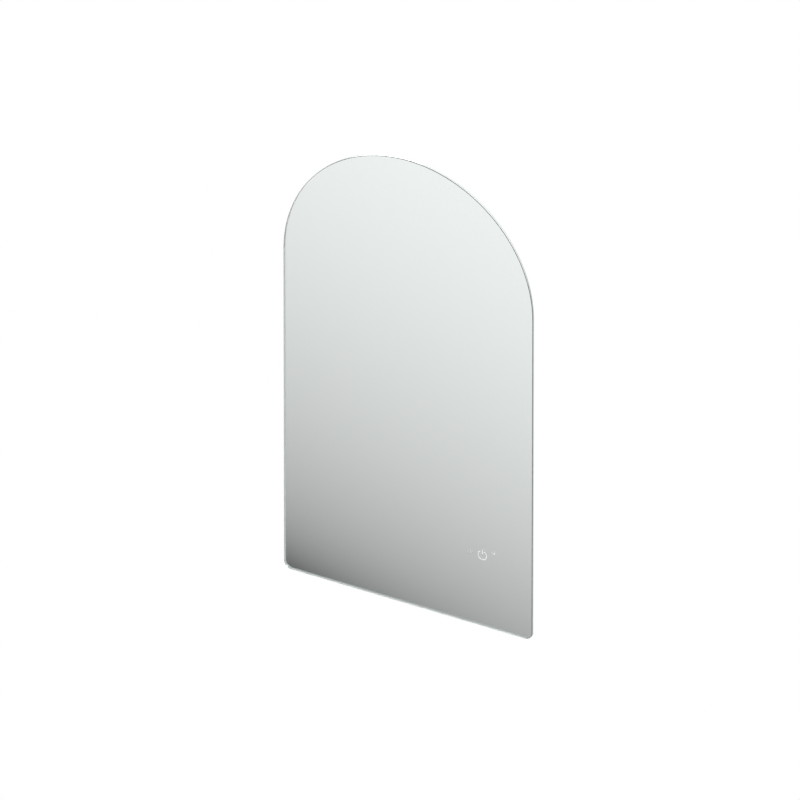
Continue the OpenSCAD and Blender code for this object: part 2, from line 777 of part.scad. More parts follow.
module hanging_rail() color("gainsboro") hang() difference() {
    union() {
        along_x(-hook_l / 2, hook_l / 2) hook_section();
        along_y(hang_y - web_foot, hang_y + lip_top - web_shoulder)
            translate([0, web_back + rail_t]) channel_2d(2 * inner_r, tab_reach + rail_t, rail_t);
    }
    both_sides() {
        for (y = rail_screw_ys) translate([inner_r - rail_t - 1, y, tab_screw_z]) rotate([0, 90, 0])
            cylinder(d = frame_screw_d + 2 * fit, h = rail_t + 2);
        translate([hook_l / 4, hang_y, web_back - 1]) linear_extrude(rail_t + 2) slot_2d(hook_l / 5, 14);
    }
}

module rail_screws() color("slategrey") hang() both_sides() for (y = rail_screw_ys)
    translate([inner_r - rail_t, y, tab_screw_z]) rotate([0, -90, 0])
        pan_screw(frame_screw_d, frame_screw_l);

// The gear tray

module on_tray() translate([0, 0, tray_back]) mirror([0, 0, 1]) children();

module tray_holes() {
    for (i = [-3 : 3]) translate([driver_mid + vent_pitch * i, tray_mid]) rotate(90)
        slot_2d(driver_w - 12, 5);
    for (x = [driver_x - ear_l / 2, driver_right + ear_l / 2]) translate([x, tray_mid])
        circle(d = frame_screw_d + 2 * fit);
    for (p = box_screws) translate(p) circle(d = case_screw_d + 2 * fit);
}

// Notches where the gland's cable and two leads pass the folded edges: middle, edge and width
tray_notches = [[box_mid_x, tray_y, gland_notch_w], [sensor_x, tray_y, lead_notch_w],
    [demister_hole_x, tray_top, lead_notch_w]];

module gear_tray() color("gainsboro") hang() difference() {
    union() {
        along_x(fold_relief - inner_r, inner_r - fold_relief) translate([tray_mid, tray_back + tray_t])
            channel_2d(tray_h, tray_fold + tray_t, tray_t);
        along_y(tray_mid - tray_tab_h / 2, tray_mid + tray_tab_h / 2)
            translate([0, tray_back + tray_t]) channel_2d(2 * inner_r, tray_tab + tray_t, tray_t);
    }
    translate([0, 0, tray_back - 1]) linear_extrude(tray_t + 2) tray_holes();
    for (n = tray_notches) translate([n[0], n[1], tray_back])
        cube([n[2], 2 * (fold_r + tray_t), 3 * tray_fold], center = true);
    both_sides() for (y = tray_screw_ys) translate([inner_r - tray_t - 1, y, tray_screw_z])
        rotate([0, 90, 0]) cylinder(d = frame_screw_d + 2 * fit, h = tray_t + 2);
    translate([inner_r - tray_t - 1, led_hole_y, led_hole_z]) rotate([0, 90, 0])
        cylinder(d = small_hole_d + 2, h = tray_t + 2);
}

module tray_screws() color("slategrey") hang() both_sides() for (y = tray_screw_ys)
    translate([inner_r - tray_t, y, tray_screw_z]) rotate([0, -90, 0])
        pan_screw(frame_screw_d, frame_screw_l);

// The driver

// Open tub of w by h, floor on z = 0, with four lid bosses
module tub(w, h, depth) {
    difference() {
        linear_extrude(depth) rounded_rect(w, h, case_r);
        translate([0, 0, case_wall]) linear_extrude(depth)
            rounded_rect(w - 2 * case_wall, h - 2 * case_wall, case_r - case_wall + 0.5);
    }
    at_bosses(w, h) difference() {
        cylinder(d = boss_d, h = depth);
        translate([0, 0, depth - case_screw_l - 0.5])
            cylinder(d = case_screw_d + 2 * fit, h = case_screw_l + 1);
    }
}

module at_bosses(w, h) {
    inset = case_wall + boss_d / 2 - 0.5;
    for (x = [-1, 1], y = [-1, 1]) translate([x * (w / 2 - inset), y * (h / 2 - inset)]) children();
}

// Lid with a locating rim, its underside on z = 0
module tub_lid(w, h) difference() {
    rim_gap = case_wall + slack;
    union() {
        linear_extrude(lid_t) rounded_rect(w, h, case_r);
        translate([0, 0, -lid_rim]) linear_extrude(lid_rim + eps) difference() {
            rounded_rect(w - 2 * rim_gap, h - 2 * rim_gap, case_r - case_wall + 0.5);
            rounded_rect(w - 2 * (rim_gap + 1.2), h - 2 * (rim_gap + 1.2), 1);
            at_bosses(w, h) circle(d = boss_d + 2 * slack + 0.4);
        }
    }
    at_bosses(w, h) translate([0, 0, lid_t]) csk_hole(case_screw_d, lid_t + 1);
}

module lead_hole_x(x, y, d) translate([x, y, lead_rise]) rotate([0, 90, 0])
    cylinder(d = d, h = 3 * case_wall, center = true);

module driver_case() color("whitesmoke") hang() on_tray() translate([driver_mid, tray_mid]) difference() {
    union() {
        tub(driver_l, driver_w, driver_h - lid_t);
        for (x = [-1, 1]) {
            translate([x * (driver_l + ear_l) / 2, 0]) linear_extrude(ear_t)
                square([ear_l + 1, ear_w], center = true);
            for (y = [-1, 1])
                translate([x * (board_l / 2 - 1.5 * post_d), y * (driver_w / 2 - case_wall - 0.7 * post_d)])
                    cylinder(d = post_d, h = case_wall + post_h);
        }
    }
    for (x = [-1, 1]) translate([x * (driver_l + ear_l) / 2, 0, -1])
        cylinder(d = frame_screw_d + 2 * fit, h = ear_t + 2);
    lead_hole_x(-driver_l / 2, 0, supply_hole_d);
    for (y = [driver_led_y, driver_sensor_y]) lead_hole_x(driver_l / 2, y - tray_mid, small_hole_d);
}

module driver_lid() color("whitesmoke") hang() on_tray()
    translate([driver_mid, tray_mid, driver_h - lid_t]) difference() {
        tub_lid(driver_l, driver_w);
        for (i = [-3 : 3]) translate([groove_pitch * i, 0, lid_t - 0.5]) linear_extrude(1) rotate(90)
            slot_2d(driver_w - 2 * groove_inset, 3);
    }

module driver_board() color("darkgreen") hang() on_tray()
    translate([driver_mid, tray_mid, case_wall + post_h]) linear_extrude(board_t) difference() {
        square([board_l, driver_w - 2 * case_wall - 4], center = true);
        at_bosses(driver_l, driver_w) circle(d = boss_d + 1);
    }

// Screw terminals at both ends of the board: one for the supply, two for the outputs
module driver_terminals() color("seagreen") hang() on_tray() translate([driver_mid, tray_mid, board_top])
    for (t = [[-1, 0], [1, driver_led_y - tray_mid], [1, driver_sensor_y - tray_mid]])
        translate([t[0] * (board_l - output_size) / 2, t[1]]) difference() {
            translate([-output_size / 2, -output_size / 2, 0]) cube([output_size, output_size, parts_h]);
            translate([0, 0, 0.55 * parts_h]) cylinder(d = 0.5 * output_size, h = driver_h);
        }

// Wound bobbin between the two halves of a ferrite core
module driver_transformer() color("goldenrod") hang() on_tray()
    translate([board_x + 0.46 * board_l, tray_mid, board_top]) {
        for (z = [0, parts_h - 1]) translate([-transformer_w / 2, -transformer_d / 2, z])
            cube([transformer_w, transformer_d, 1]);
        cylinder(d = transformer_d - 4, h = parts_h);
        for (m = [0, 1]) mirror([0, m])
            translate([1 - transformer_w / 2, transformer_d / 2 - core_t, 1 - eps])
                cube([transformer_w - 2, core_t, parts_h - 2 + 2 * eps]);
    }

module driver_capacitors() color("darkslategrey") hang() on_tray()
    for (x = [0.15, 0.27] * board_l) translate([board_x + x, tray_mid - capacitor_l / 2,
        board_top + capacitor_d / 2]) rotate([-90, 0, 0]) {
            cylinder(d = capacitor_d, h = capacitor_l);
            translate([0, 0, capacitor_l - eps]) cylinder(d = capacitor_d - 0.6, h = 0.6);
        }

module driver_choke() color("peru") hang() on_tray()
    translate([board_x + 0.72 * board_l, tray_mid, board_top + choke_r / 2])
        rotate_extrude() translate([choke_r, 0]) circle(choke_r / 2);

module driver_screws() color("slategrey") hang() on_tray()
    for (x = [driver_x - ear_l / 2, driver_right + ear_l / 2]) translate([x, tray_mid, ear_t])
        pan_screw(frame_screw_d, ear_t + tray_t + 1);

module driver_lid_screws() color("slategrey") hang() on_tray() translate([driver_mid, tray_mid, driver_h])
    at_bosses(driver_l, driver_w) csk_screw(case_screw_d, case_screw_l);

// The junction box and its gland

module junction_box() color("lightgrey") hang() on_tray() translate([box_mid_x, tray_mid]) difference() {
    tub(box_w, box_h, box_d - lid_t);
    translate([0, -box_h / 2, gland_z]) rotate([90, 0, 0])
        cylinder(d = gland_d + 2 * fit, h = 3 * case_wall, center = true);
    lead_hole_x(box_w / 2, 0, supply_hole_d);
    translate([demister_hole_x - box_mid_x, box_h / 2, lead_rise]) rotate([90, 0, 0])
        cylinder(d = demister_hole_d, h = 3 * case_wall, center = true);
    for (p = box_screws) translate([p[0] - box_mid_x, p[1] - tray_mid, -1])
        cylinder(d = case_screw_d + 2 * fit, h = case_wall + 2);
}

module junction_lid() color("lightgrey") hang() on_tray()
    translate([box_mid_x, tray_mid, box_d - lid_t]) difference() {
        tub_lid(box_w, box_h);
        translate([0, 0, lid_t - 0.5]) linear_extrude(1) difference() {
            rounded_rect(box_w - 6 * case_r, box_h - 6 * case_r, case_r);
            rounded_rect(box_w - 6 * case_r - 3, box_h - 6 * case_r - 3, case_r - 1.5);
        }
        translate([-locknut_af / 2 - 2, -box_h / 2, -lid_rim - 1])
            cube([locknut_af + 4, case_wall + locknut_t + 1, lid_rim + 1]);
    }

module junction_screws() color("slategrey") hang() on_tray()
    for (p = box_screws) translate([p[0], p[1], case_wall]) pan_screw(case_screw_d, case_wall + tray_t + 1);

module junction_lid_screws() color("slategrey") hang() on_tray() translate([box_mid_x, tray_mid, box_d])
    at_bosses(box_w, box_h) csk_screw(case_screw_d, case_screw_l);

// Three cells in a strip, each with a wire bore and two screw wells
module terminal_block() color("ivory") hang() on_tray()
    translate([terminal_x, tray_mid, case_wall]) difference() {
        union() {
            translate([-terminal_l / 2, terminal_gap / 2 - 1.5 * terminal_pitch, 0])
                cube([terminal_l, 3 * terminal_pitch - terminal_gap, terminal_base_h]);
            for (i = [-1 : 1]) translate([0, i * terminal_pitch, terminal_h / 2])
                cube([terminal_l, terminal_pitch - terminal_gap, terminal_h], center = true);
        }
        for (i = [-1 : 1]) translate([0, i * terminal_pitch, 0]) {
            translate([0, 0, lead_rise - case_wall]) rotate([0, 90, 0])
                cylinder(d = terminal_bore_d, h = terminal_l + 2, center = true);
            for (m = [-1, 1]) translate([m * terminal_screw_x, 0, lead_rise - case_wall])
                cylinder(d = terminal_screw_d + 2 * fit, h = terminal_h);
        }
    }

module terminal_screws() color("gold") hang() on_tray()
    for (i = [-1 : 1], m = [-1, 1]) translate([terminal_x + m * terminal_screw_x,
        tray_mid + i * terminal_pitch, lead_rise + 0.5]) difference() {
            cylinder(d = terminal_screw_d, h = terminal_screw_h);
            translate([-terminal_screw_d, -0.4, 0.75 * terminal_screw_h])
                cube([2 * terminal_screw_d, 0.8, terminal_screw_h]);
        }

// Along the gland: z = 0 is the box's outer face, and z grows down the mirror
module on_gland() on_tray() translate([box_mid_x, box_low_y, gland_z]) rotate([90, 0, 0]) children();

seal_low = gland_flange + gland_thread - seal_l;
seal_high = gland_flange + gland_thread;

module hexagon(af, h) cylinder(d = af / cos(30), h = h, $fn = 6);

module cable_gland() color("dimgrey") hang() on_gland() difference() {
    union() {
        translate([0, 0, -gland_shank]) cylinder(d = gland_d, h = gland_shank + gland_flange + gland_thread);
        hexagon(gland_af, gland_flange);
    }
    translate([0, 0, -gland_shank - 1]) cylinder(d = gland_way_d, h = gland_shank + seal_high + 2);
    translate([0, 0, seal_low]) cylinder(d = seal_od + 2 * fit, h = seal_l + 1);
}

module gland_locknut() color("dimgrey") hang() on_gland()
    translate([0, 0, -case_wall - locknut_t]) difference() {
        hexagon(locknut_af, locknut_t);
        translate([0, 0, -1]) cylinder(d = gland_d + 2 * fit, h = locknut_t + 2);
    }

module gland_seal() color("black") hang() on_gland() translate([0, 0, seal_low]) difference() {
    cylinder(d = seal_od, h = seal_l);
    translate([0, 0, -1]) cylinder(d = gland_bore_d, h = seal_l + 2);
}

module gland_nut() color("dimgrey") hang() on_gland() translate([0, 0, gland_flange + 0.3]) difference() {
    skirt = seal_high - gland_flange;
    union() {
        hexagon(gland_af, skirt - 1);
        cylinder(d = gland_af - 0.4, h = skirt);
        translate([0, 0, skirt - eps]) cylinder(d1 = gland_af - 0.4, d2 = gland_d - 2, h = nut_wall);
    }
    translate([0, 0, -1]) cylinder(d = gland_d + 2 * fit, h = skirt + 1);
    cylinder(d = gland_way_d, h = skirt + nut_wall + 1);
}

// The touch sensor behind its symbols

module on_sensor(z) translate([sensor_x, sensor_y, z]) children();

module sensor_window() color("white") hang() on_sensor(window_back)
    linear_extrude(window_t) rounded_rect(window_w, window_h, 3);

module touch_springs() color("goldenrod") hang() on_sensor(sensor_board_z)
    for (p = symbol_places) translate(p) difference() {
        cylinder(d = touch_d, h = window_back - sensor_board_z);
        translate([0, 0, -1]) cylinder(d = touch_d - 1.6, h = window_back - sensor_board_z + 2);
    }

module sensor_board() color("darkgreen") hang() on_sensor(sensor_board_z - board_t)
    linear_extrude(board_t) rounded_rect(window_w - 2, window_h - 2, 2);

module sensor_housing() color("whitesmoke") hang() difference() {
    on_sensor(sensor_back) difference() {
        linear_extrude(sensor_d) rounded_rect(sensor_w, sensor_h, 4);
        translate([0, 0, sensor_board_z - board_t - sensor_back]) linear_extrude(sensor_d)
            rounded_rect(window_w + 2 * slack, window_h + 2 * slack, 3);
        translate([0, 0, sensor_wall]) linear_extrude(sensor_d)
            rounded_rect(window_w - 2 * sensor_ledge, window_h - 2 * sensor_ledge, 2);
    }
    translate([sensor_x, sensor_y + sensor_h / 2, sensor_lead_z]) rotate([90, 0, 0])
        cylinder(d = small_hole_d, h = 2 * (sensor_wall + slack + sensor_ledge + 1), center = true);
}

// The demister behind the film

module demister_pad() color("silver") hang() translate([0, demister_y + demister_h / 2, demister_back])
    linear_extrude(demister_t) rounded_rect(demister_w, demister_h, 8);

// One track that runs up and down the foil, with its ends at the terminal
module heating_track() color("peru") hang() translate([0, demister_y, demister_back - track_t])
    linear_extrude(track_t) {
        run_w = demister_w - 2 * track_edge - track_w;
        step = run_w / (track_passes - 1);
        high = demister_h - track_edge;
        last = track_passes - 1;
        for (i = [0 : last]) {
            low = i == 0 || i == last ? bus_edge : track_edge;
            translate([i * step - run_w / 2 - track_w / 2, low]) square([track_w, high - low]);
        }
        for (i = [0 : last - 1]) translate([i * step - run_w / 2 - track_w / 2,
            i % 2 == 0 ? high - track_w : track_edge]) square([step + track_w, track_w]);
        translate([-(run_w + track_w) / 2, bus_edge])
            square([demister_terminal_x - track_w + (run_w + track_w) / 2, track_w]);
        translate([demister_terminal_x + track_w, bus_edge])
            square([(run_w + track_w) / 2 - demister_terminal_x - track_w, track_w]);
    }

module demister_terminal() color("dimgrey") hang()
    translate([demister_terminal_x, demister_y, demister_back - track_t]) mirror([0, 0, 1]) difference() {
        linear_extrude(demister_terminal_size[2]) translate([0, demister_terminal_size[1] / 2])
            rounded_rect(demister_terminal_size[0], demister_terminal_size[1], 2);
        translate([0, -1, demister_terminal_size[2] / 2]) rotate([-90, 0, 0])
            cylinder(d = demister_lead_d + 2 * fit, h = demister_terminal_size[1] / 2 + 1);
    }

// The leads

module supply_lead() color("white") hang() lead(concat(
    straight([terminal_x + terminal_l / 2, tray_mid, lead_level], [5, 0, 0], [0, 1, 2]),
    straight([box_right_x, tray_mid, lead_level], [4, 0, 0], [-2, -1, 0.5, 1.5]),
    [[box_right_x + 13, tray_mid - 2, lead_level], [driver_x - 15, tray_mid + 2, lead_level]],
    straight([driver_x, tray_mid, lead_level], [4, 0, 0], [-1.5, -0.5, 1]),
    [[board_x, tray_mid, lead_level]]), supply_lead_d);

module led_lead() color("white") hang() lead(concat(
    [[board_x + board_l, driver_led_y, lead_level]],
    straight([driver_right, driver_led_y, lead_level], [4, 0, 0], [-1, 0.5, 1.5]),
    [[driver_right + 16, driver_led_y, lead_level + 2]],
    straight([led_clip_x, driver_led_y, clip_lead_z], [clip_l, 0, 0], [-1.2, -0.6, 0.6, 1.2]),
    [[inner_r - 14, led_hole_y - 2, led_hole_z + 1]],
    straight([inner_r, led_hole_y, led_hole_z], [3, 0, 0], [-2, -1, 1]),
    [[frame_r - channel_depth, led_hole_y, led_hole_z]]), small_lead_d);

module sensor_lead() color("white") hang() lead(concat(
    straight([sensor_x, sensor_y + sensor_h / 2, sensor_lead_z], [0, 3, 0], [-2, -1, 0.5, 1.5]),
    straight([sensor_x, sensor_clip_y, clip_lead_z], [0, clip_l, 0], [-3, -1.2, -0.6, 0.6, 1.2]),
    [[sensor_x - 2, driver_sensor_y - 11, lead_level + 3], [sensor_x - 10, driver_sensor_y - 2, lead_level]],
    straight([driver_right, driver_sensor_y, lead_level], [4, 0, 0], [2.2, 0.5, -1]),
    [[board_x + board_l, driver_sensor_y, lead_level]]), small_lead_d);

module demister_lead() color("white") hang() lead(concat(
    straight([demister_terminal_x, demister_y, demister_lead_z], [0, -3, 0],
        [-demister_terminal_size[1] / 6, 0.5, 1.5]),
    [[demister_terminal_x + 3, demister_y - 16, demister_lead_z - 4],
        [demister_hole_x, tray_top + 2, lead_level + 1]],
    straight([demister_hole_x, box_high_y, lead_level], [0, -4, 0], [-3, -1.5, -0.5, 1, 2]),
    [[demister_hole_x - 5, tray_mid + terminal_pitch + 3, lead_level]],
    straight([terminal_x + terminal_l / 2, tray_mid + terminal_pitch, lead_level], [3, 0, 0], [2, 1, 0])),
    demister_lead_d);

// Glued saddle over a lead that runs along Y
module cable_clip() difference() {
    union() {
        translate([-clip_base / 2, -clip_base / 2, 0]) cube([clip_base, clip_base, clip_base_t]);
        translate([0, clip_l / 2, clip_rise]) rotate([90, 0, 0]) cylinder(r = clip_rise, h = clip_l);
        translate([-clip_rise, -clip_l / 2, 0]) cube([2 * clip_rise, clip_l, clip_rise]);
    }
    translate([0, clip_base / 2, clip_rise]) rotate([90, 0, 0])
        cylinder(d = small_lead_d + 2 * clip_play, h = clip_base);
}

module cable_clips() color("whitesmoke") hang() on_tray() {
    translate([sensor_x, sensor_clip_y]) cable_clip();
    translate([led_clip_x, driver_led_y]) rotate(90) cable_clip();
}

wall_cleat();
mirror_glass();
silver_coat();
safety_film();
bonding_tape();
arch_profile();
left_profile();
right_profile();
bottom_profile();
corner_keys();
arch_keys();
key_screws();
wall_bumpers();
led_tape();
led_chips();
arch_diffuser();
side_diffusers();
bottom_diffuser();
hanging_rail();
rail_screws();
gear_tray();
tray_screws();
demister_pad();
heating_track();
demister_terminal();
sensor_window();
touch_springs();
sensor_board();
sensor_housing();
driver_case();
driver_lid();
driver_board();
driver_transformer();
driver_capacitors();
driver_choke();
driver_terminals();
driver_screws();
driver_lid_screws();
junction_box();
junction_lid();
junction_screws();
junction_lid_screws();
terminal_block();
terminal_screws();
cable_gland();
gland_locknut();
gland_seal();
gland_nut();
supply_lead();
led_lead();
sensor_lead();
demister_lead();
cable_clips();
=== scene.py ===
import json
import math

import bmesh
import bpy
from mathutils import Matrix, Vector


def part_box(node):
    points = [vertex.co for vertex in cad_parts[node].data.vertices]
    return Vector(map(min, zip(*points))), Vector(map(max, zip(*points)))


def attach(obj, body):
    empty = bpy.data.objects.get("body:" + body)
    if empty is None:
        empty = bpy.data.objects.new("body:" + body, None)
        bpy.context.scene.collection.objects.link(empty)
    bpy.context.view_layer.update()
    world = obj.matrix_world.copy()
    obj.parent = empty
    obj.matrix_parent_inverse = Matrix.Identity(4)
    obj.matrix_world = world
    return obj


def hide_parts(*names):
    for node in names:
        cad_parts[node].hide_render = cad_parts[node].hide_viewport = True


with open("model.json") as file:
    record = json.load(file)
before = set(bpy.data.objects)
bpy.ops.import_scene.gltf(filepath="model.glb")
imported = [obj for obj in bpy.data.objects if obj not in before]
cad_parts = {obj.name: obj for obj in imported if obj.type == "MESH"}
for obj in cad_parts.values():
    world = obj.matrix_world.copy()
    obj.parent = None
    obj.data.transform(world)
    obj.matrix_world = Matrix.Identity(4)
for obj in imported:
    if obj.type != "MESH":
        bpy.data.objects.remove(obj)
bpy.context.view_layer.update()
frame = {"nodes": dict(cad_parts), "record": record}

print("mirror: frame loaded with", len(frame["nodes"]), "nodes")

scene = bpy.context.scene
scene.view_settings.view_transform = "Standard"

mm = 0.001
glassLow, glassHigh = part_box("mirror_glass")
glassCentre = (glassLow + glassHigh) / 2
archCentre = glassHigh.z - (glassHigh.x - glassLow.x) / 2    # height of the half round's centre

# The photograph's view: from the right and above, and so far away that it is nearly parallel
photoView = {
    "azimuth": 29.79,                   # degrees
    "elevation": 30.874,
    "distance": 57.0,                   # metres
    "nearest": 1.0,                     # metres from the camera that it sees at all
    "pictureWidth": 1.3942,             # metres across the picture, at the mirror
    "picturePixels": 800,
    "glassPixel": (408.51, 382.56),     # where the middle of the glass shows
    "sensor": 36.0,                     # millimetres
}


def placeCamera():
    turn = math.radians(photoView["azimuth"])
    tilt = math.radians(photoView["elevation"])
    towardsCamera = Vector((
        math.sin(turn) * math.cos(tilt), -math.cos(turn) * math.cos(tilt), math.sin(tilt)))
    right = Vector((math.cos(turn), math.sin(turn), 0))
    up = towardsCamera.cross(right)
    pixel = photoView["pictureWidth"] / photoView["picturePixels"]
    middle = photoView["picturePixels"] / 2
    glassX, glassY = photoView["glassPixel"]
    aim = glassCentre + right * (middle - glassX) * pixel + up * (glassY - middle) * pixel
    data = bpy.data.cameras.new("photoCamera")
    data.sensor_width = photoView["sensor"]
    data.lens = photoView["sensor"] * photoView["distance"] / photoView["pictureWidth"]
    data.clip_start = photoView["nearest"]
    data.clip_end = 2 * photoView["distance"]
    camera = bpy.data.objects.new("photoCamera", data)
    camera.rotation_mode = "QUATERNION"
    camera.rotation_quaternion = (-towardsCamera).to_track_quat("-Z", "Y")
    camera.location = aim + towardsCamera * photoView["distance"]
    scene.collection.objects.link(camera)
    scene.camera = camera


placeCamera()


# Values go to a shader node's inputs, and links where they are sockets
def fillInputs(tree, node, values):
    for key, value in values.items():
        if isinstance(value, bpy.types.NodeSocket):
            tree.links.new(value, node.inputs[key])
        else:
            node.inputs[key].default_value = value
    return node


def addNode(tree, kind, values=None, **settings):
    made = tree.nodes.new("ShaderNode" + kind)
    for key, value in settings.items():
        setattr(made, key, value)
    return fillInputs(tree, made, values or {})


def calculate(tree, operation, first, second=0.0, third=0.0):
    return addNode(tree, "Math", {0: first, 1: second, 2: third}, operation=operation).outputs[0]


def product(tree, first, *others):
    for other in others:
        first = calculate(tree, "MULTIPLY", first, other)
    return first


def sumOfSquares(tree, first, second):
    squares = [calculate(tree, "POWER", value, 2.0) for value in (first, second)]
    return calculate(tree, "ADD", *squares)


def spread(tree, value, low, high, toLow, toHigh, curve="LINEAR"):
    values = {"Value": value, "From Min": low, "From Max": high, "To Min": toLow, "To Max": toHigh}
    return addNode(tree, "MapRange", values, interpolation_type=curve).outputs["Result"]


noiseRange = (0.35, 0.65)    # most of a noise lies between these two


def drawOut(tree, value, toLow=0.0, toHigh=1.0):
    return spread(tree, value, *noiseRange, toLow, toHigh)


def blendColours(tree, factor, first, second):
    values = {"Factor": factor}
    for key, colour in ((6, first), (7, second)):    # the two colours among the Mix node's inputs
        values[key] = colour if isinstance(colour, bpy.types.NodeSocket) else (*colour, 1)
    return addNode(tree, "Mix", values, data_type="RGBA").outputs[2]


def objectPlace(tree):
    return addNode(tree, "TexCoord").outputs["Object"]


def placeAxes(tree):
    return addNode(tree, "SeparateXYZ", {0: objectPlace(tree)}).outputs


def normalAxes(tree):
    return addNode(tree, "SeparateXYZ", {0: addNode(tree, "TexCoord").outputs["Normal"]}).outputs


def stretch(tree, place, factors):
    return addNode(tree, "VectorMath", {0: place, 1: factors}, operation="MULTIPLY").outputs[0]


def cosineBetween(tree, first, second):
    return addNode(tree, "VectorMath", {0: first, 1: second}, operation="DOT_PRODUCT").outputs["Value"]


def noise(tree, scale, detail=3.0, place=None, rough=0.55):
    values = {"Vector": place or objectPlace(tree), "Scale": scale, "Detail": detail, "Roughness": rough}
    return addNode(tree, "TexNoise", values).outputs["Fac"]


# A shader node group with named inputs and outputs. An input with no value takes a place
def startGroup(name, inputs, outputs):
    tree = bpy.data.node_groups.new(name, "ShaderNodeTree")
    for label, value in inputs.items():
        kind = "NodeSocketVector" if value is None else "NodeSocketFloat"
        socket = tree.interface.new_socket(label, in_out="INPUT", socket_type=kind)
        if value is not None:
            socket.default_value = value
    for label in outputs:
        tree.interface.new_socket(label, in_out="OUTPUT", socket_type="NodeSocketFloat")
    return tree, tree.nodes.new("NodeGroupInput").outputs, tree.nodes.new("NodeGroupOutput")


def useGroup(tree, group, values):
    made = tree.nodes.new("ShaderNodeGroup")
    made.node_tree = group
    return fillInputs(tree, made, values).outputs


# Fine grain: roughness that wanders between two values, and a height for the bump
grainLook = {
    "inputs": {"Scale": 900.0, "Patch": 25.0, "Smooth": 0.3, "Dull": 0.5},
    "fineShare": 0.35,    # of the fine grain in the roughness. The rest is patches
}


def makeGrain():
    tree, given, wanted = startGroup("grain", grainLook["inputs"], ["Roughness", "Height"])
    fine = noise(tree, given["Scale"], detail=2)
    patches = noise(tree, given["Patch"], detail=4)
    share = grainLook["fineShare"]
    mixed = calculate(tree, "MULTIPLY_ADD", fine, share, product(tree, patches, 1 - share))
    rough = drawOut(tree, mixed, given["Smooth"], given["Dull"])
    fillInputs(tree, wanted, {"Roughness": rough, "Height": fine})
    return tree


# Bare or polished edges: where the rounded normal leaves the flat one, broken up by noise
wearLook = {
    "inputs": {"Radius": 0.0005, "Scale": 250.0, "Amount": 0.6},
    "samples": 4, "startsAt": 0.99, "fullAt": 0.8,    # cosines of the angle between the two normals
    "noise": (0.4, 0.6), "least": 0.25,
}


def makeEdgeWear():
    tree, given, wanted = startGroup("edgeWear", wearLook["inputs"], ["Mask"])
    rounded = addNode(tree, "Bevel", {"Radius": given["Radius"]}, samples=wearLook["samples"])
    flat = addNode(tree, "NewGeometry")
    same = cosineBetween(tree, rounded.outputs["Normal"], flat.outputs["Normal"])
    edge = spread(tree, same, wearLook["startsAt"], wearLook["fullAt"], 0.0, 1.0)
    patches = noise(tree, given["Scale"], detail=4)
    broken = spread(tree, patches, *wearLook["noise"], wearLook["least"], 1.0)
    fillInputs(tree, wanted, {"Mask": product(tree, edge, broken, given["Amount"])})
    return tree


# Dust that settles on ledges which face up
dustLook = {
    "inputs": {"Scale": 60.0, "Amount": 0.4}, "colour": (0.62, 0.6, 0.56),
    "ledge": (0.2, 0.95), "onWalls": 0.12,    # upward part of the normal, and what stays on upright faces
    "noise": (0.35, 0.7),
}


def makeDust():
    tree, given, wanted = startGroup("dust", dustLook["inputs"], ["Mask"])
    ledge = spread(tree, normalAxes(tree)["Z"], *dustLook["ledge"], dustLook["onWalls"], 1.0)
    clouds = spread(tree, noise(tree, given["Scale"], detail=5), *dustLook["noise"], 0.0, 1.0)
    fillInputs(tree, wanted, {"Mask": product(tree, ledge, clouds, given["Amount"])})
    return tree


# Lines that a die draws along the last axis of the given place
drawnLook = {
    "inputs": {"Place": None, "Density": 1400.0},
    "along": 0.006,         # how little the pattern changes along the line
    "lineRough": 0.7, "streakShare": 0.12,
}


def makeDrawnLines():
    tree, given, wanted = startGroup("drawnLines", drawnLook["inputs"], ["Line", "Streak"])
    drawn = stretch(tree, given["Place"], (1, 1, drawnLook["along"]))
    line = noise(tree, given["Density"], place=drawn, rough=drawnLook["lineRough"])
    streak = noise(tree, product(tree, given["Density"], drawnLook["streakShare"]), detail=2, place=drawn)
    fillInputs(tree, wanted, {"Line": line, "Streak": streak})
    return tree


# Plain weave of flat tapes in the plane of the wall
weaveLook = {"inputs": {"Pitch": 0.004}, "crown": 0.4}    # a lower crown makes the tapes flatter


def makeWeave():
    tree, given, wanted = startGroup("weave", weaveLook["inputs"], ["Height", "Shade"])
    place = placeAxes(tree)
    waves = []
    tapes = []
    for axis in ("X", "Z"):
        turns = calculate(tree, "DIVIDE", product(tree, place[axis], math.pi), given["Pitch"])
        waves.append(calculate(tree, "SINE", turns))
        tapes.append(calculate(tree, "POWER", calculate(tree, "ABSOLUTE", waves[-1]), weaveLook["crown"]))
    over = calculate(tree, "GREATER_THAN", product(tree, *waves), 0.0)
    warp = product(tree, tapes[0], over)
    weft = product(tree, tapes[1], calculate(tree, "SUBTRACT", 1.0, over))
    fillInputs(tree, wanted, {"Height": calculate(tree, "ADD", warp, weft), "Shade": over})
    return tree


# Crystals of hot-dip zinc, each with streaks in a direction of its own
spangleLook = {
    "inputs": {"Scale": 170.0},
    "warpScale": 90.0, "warp": 0.003,          # what bends the crystals' borders, and how far, in metres
    "streakScale": 1500, "streakAlong": 0.15, "border": 0.12,
}


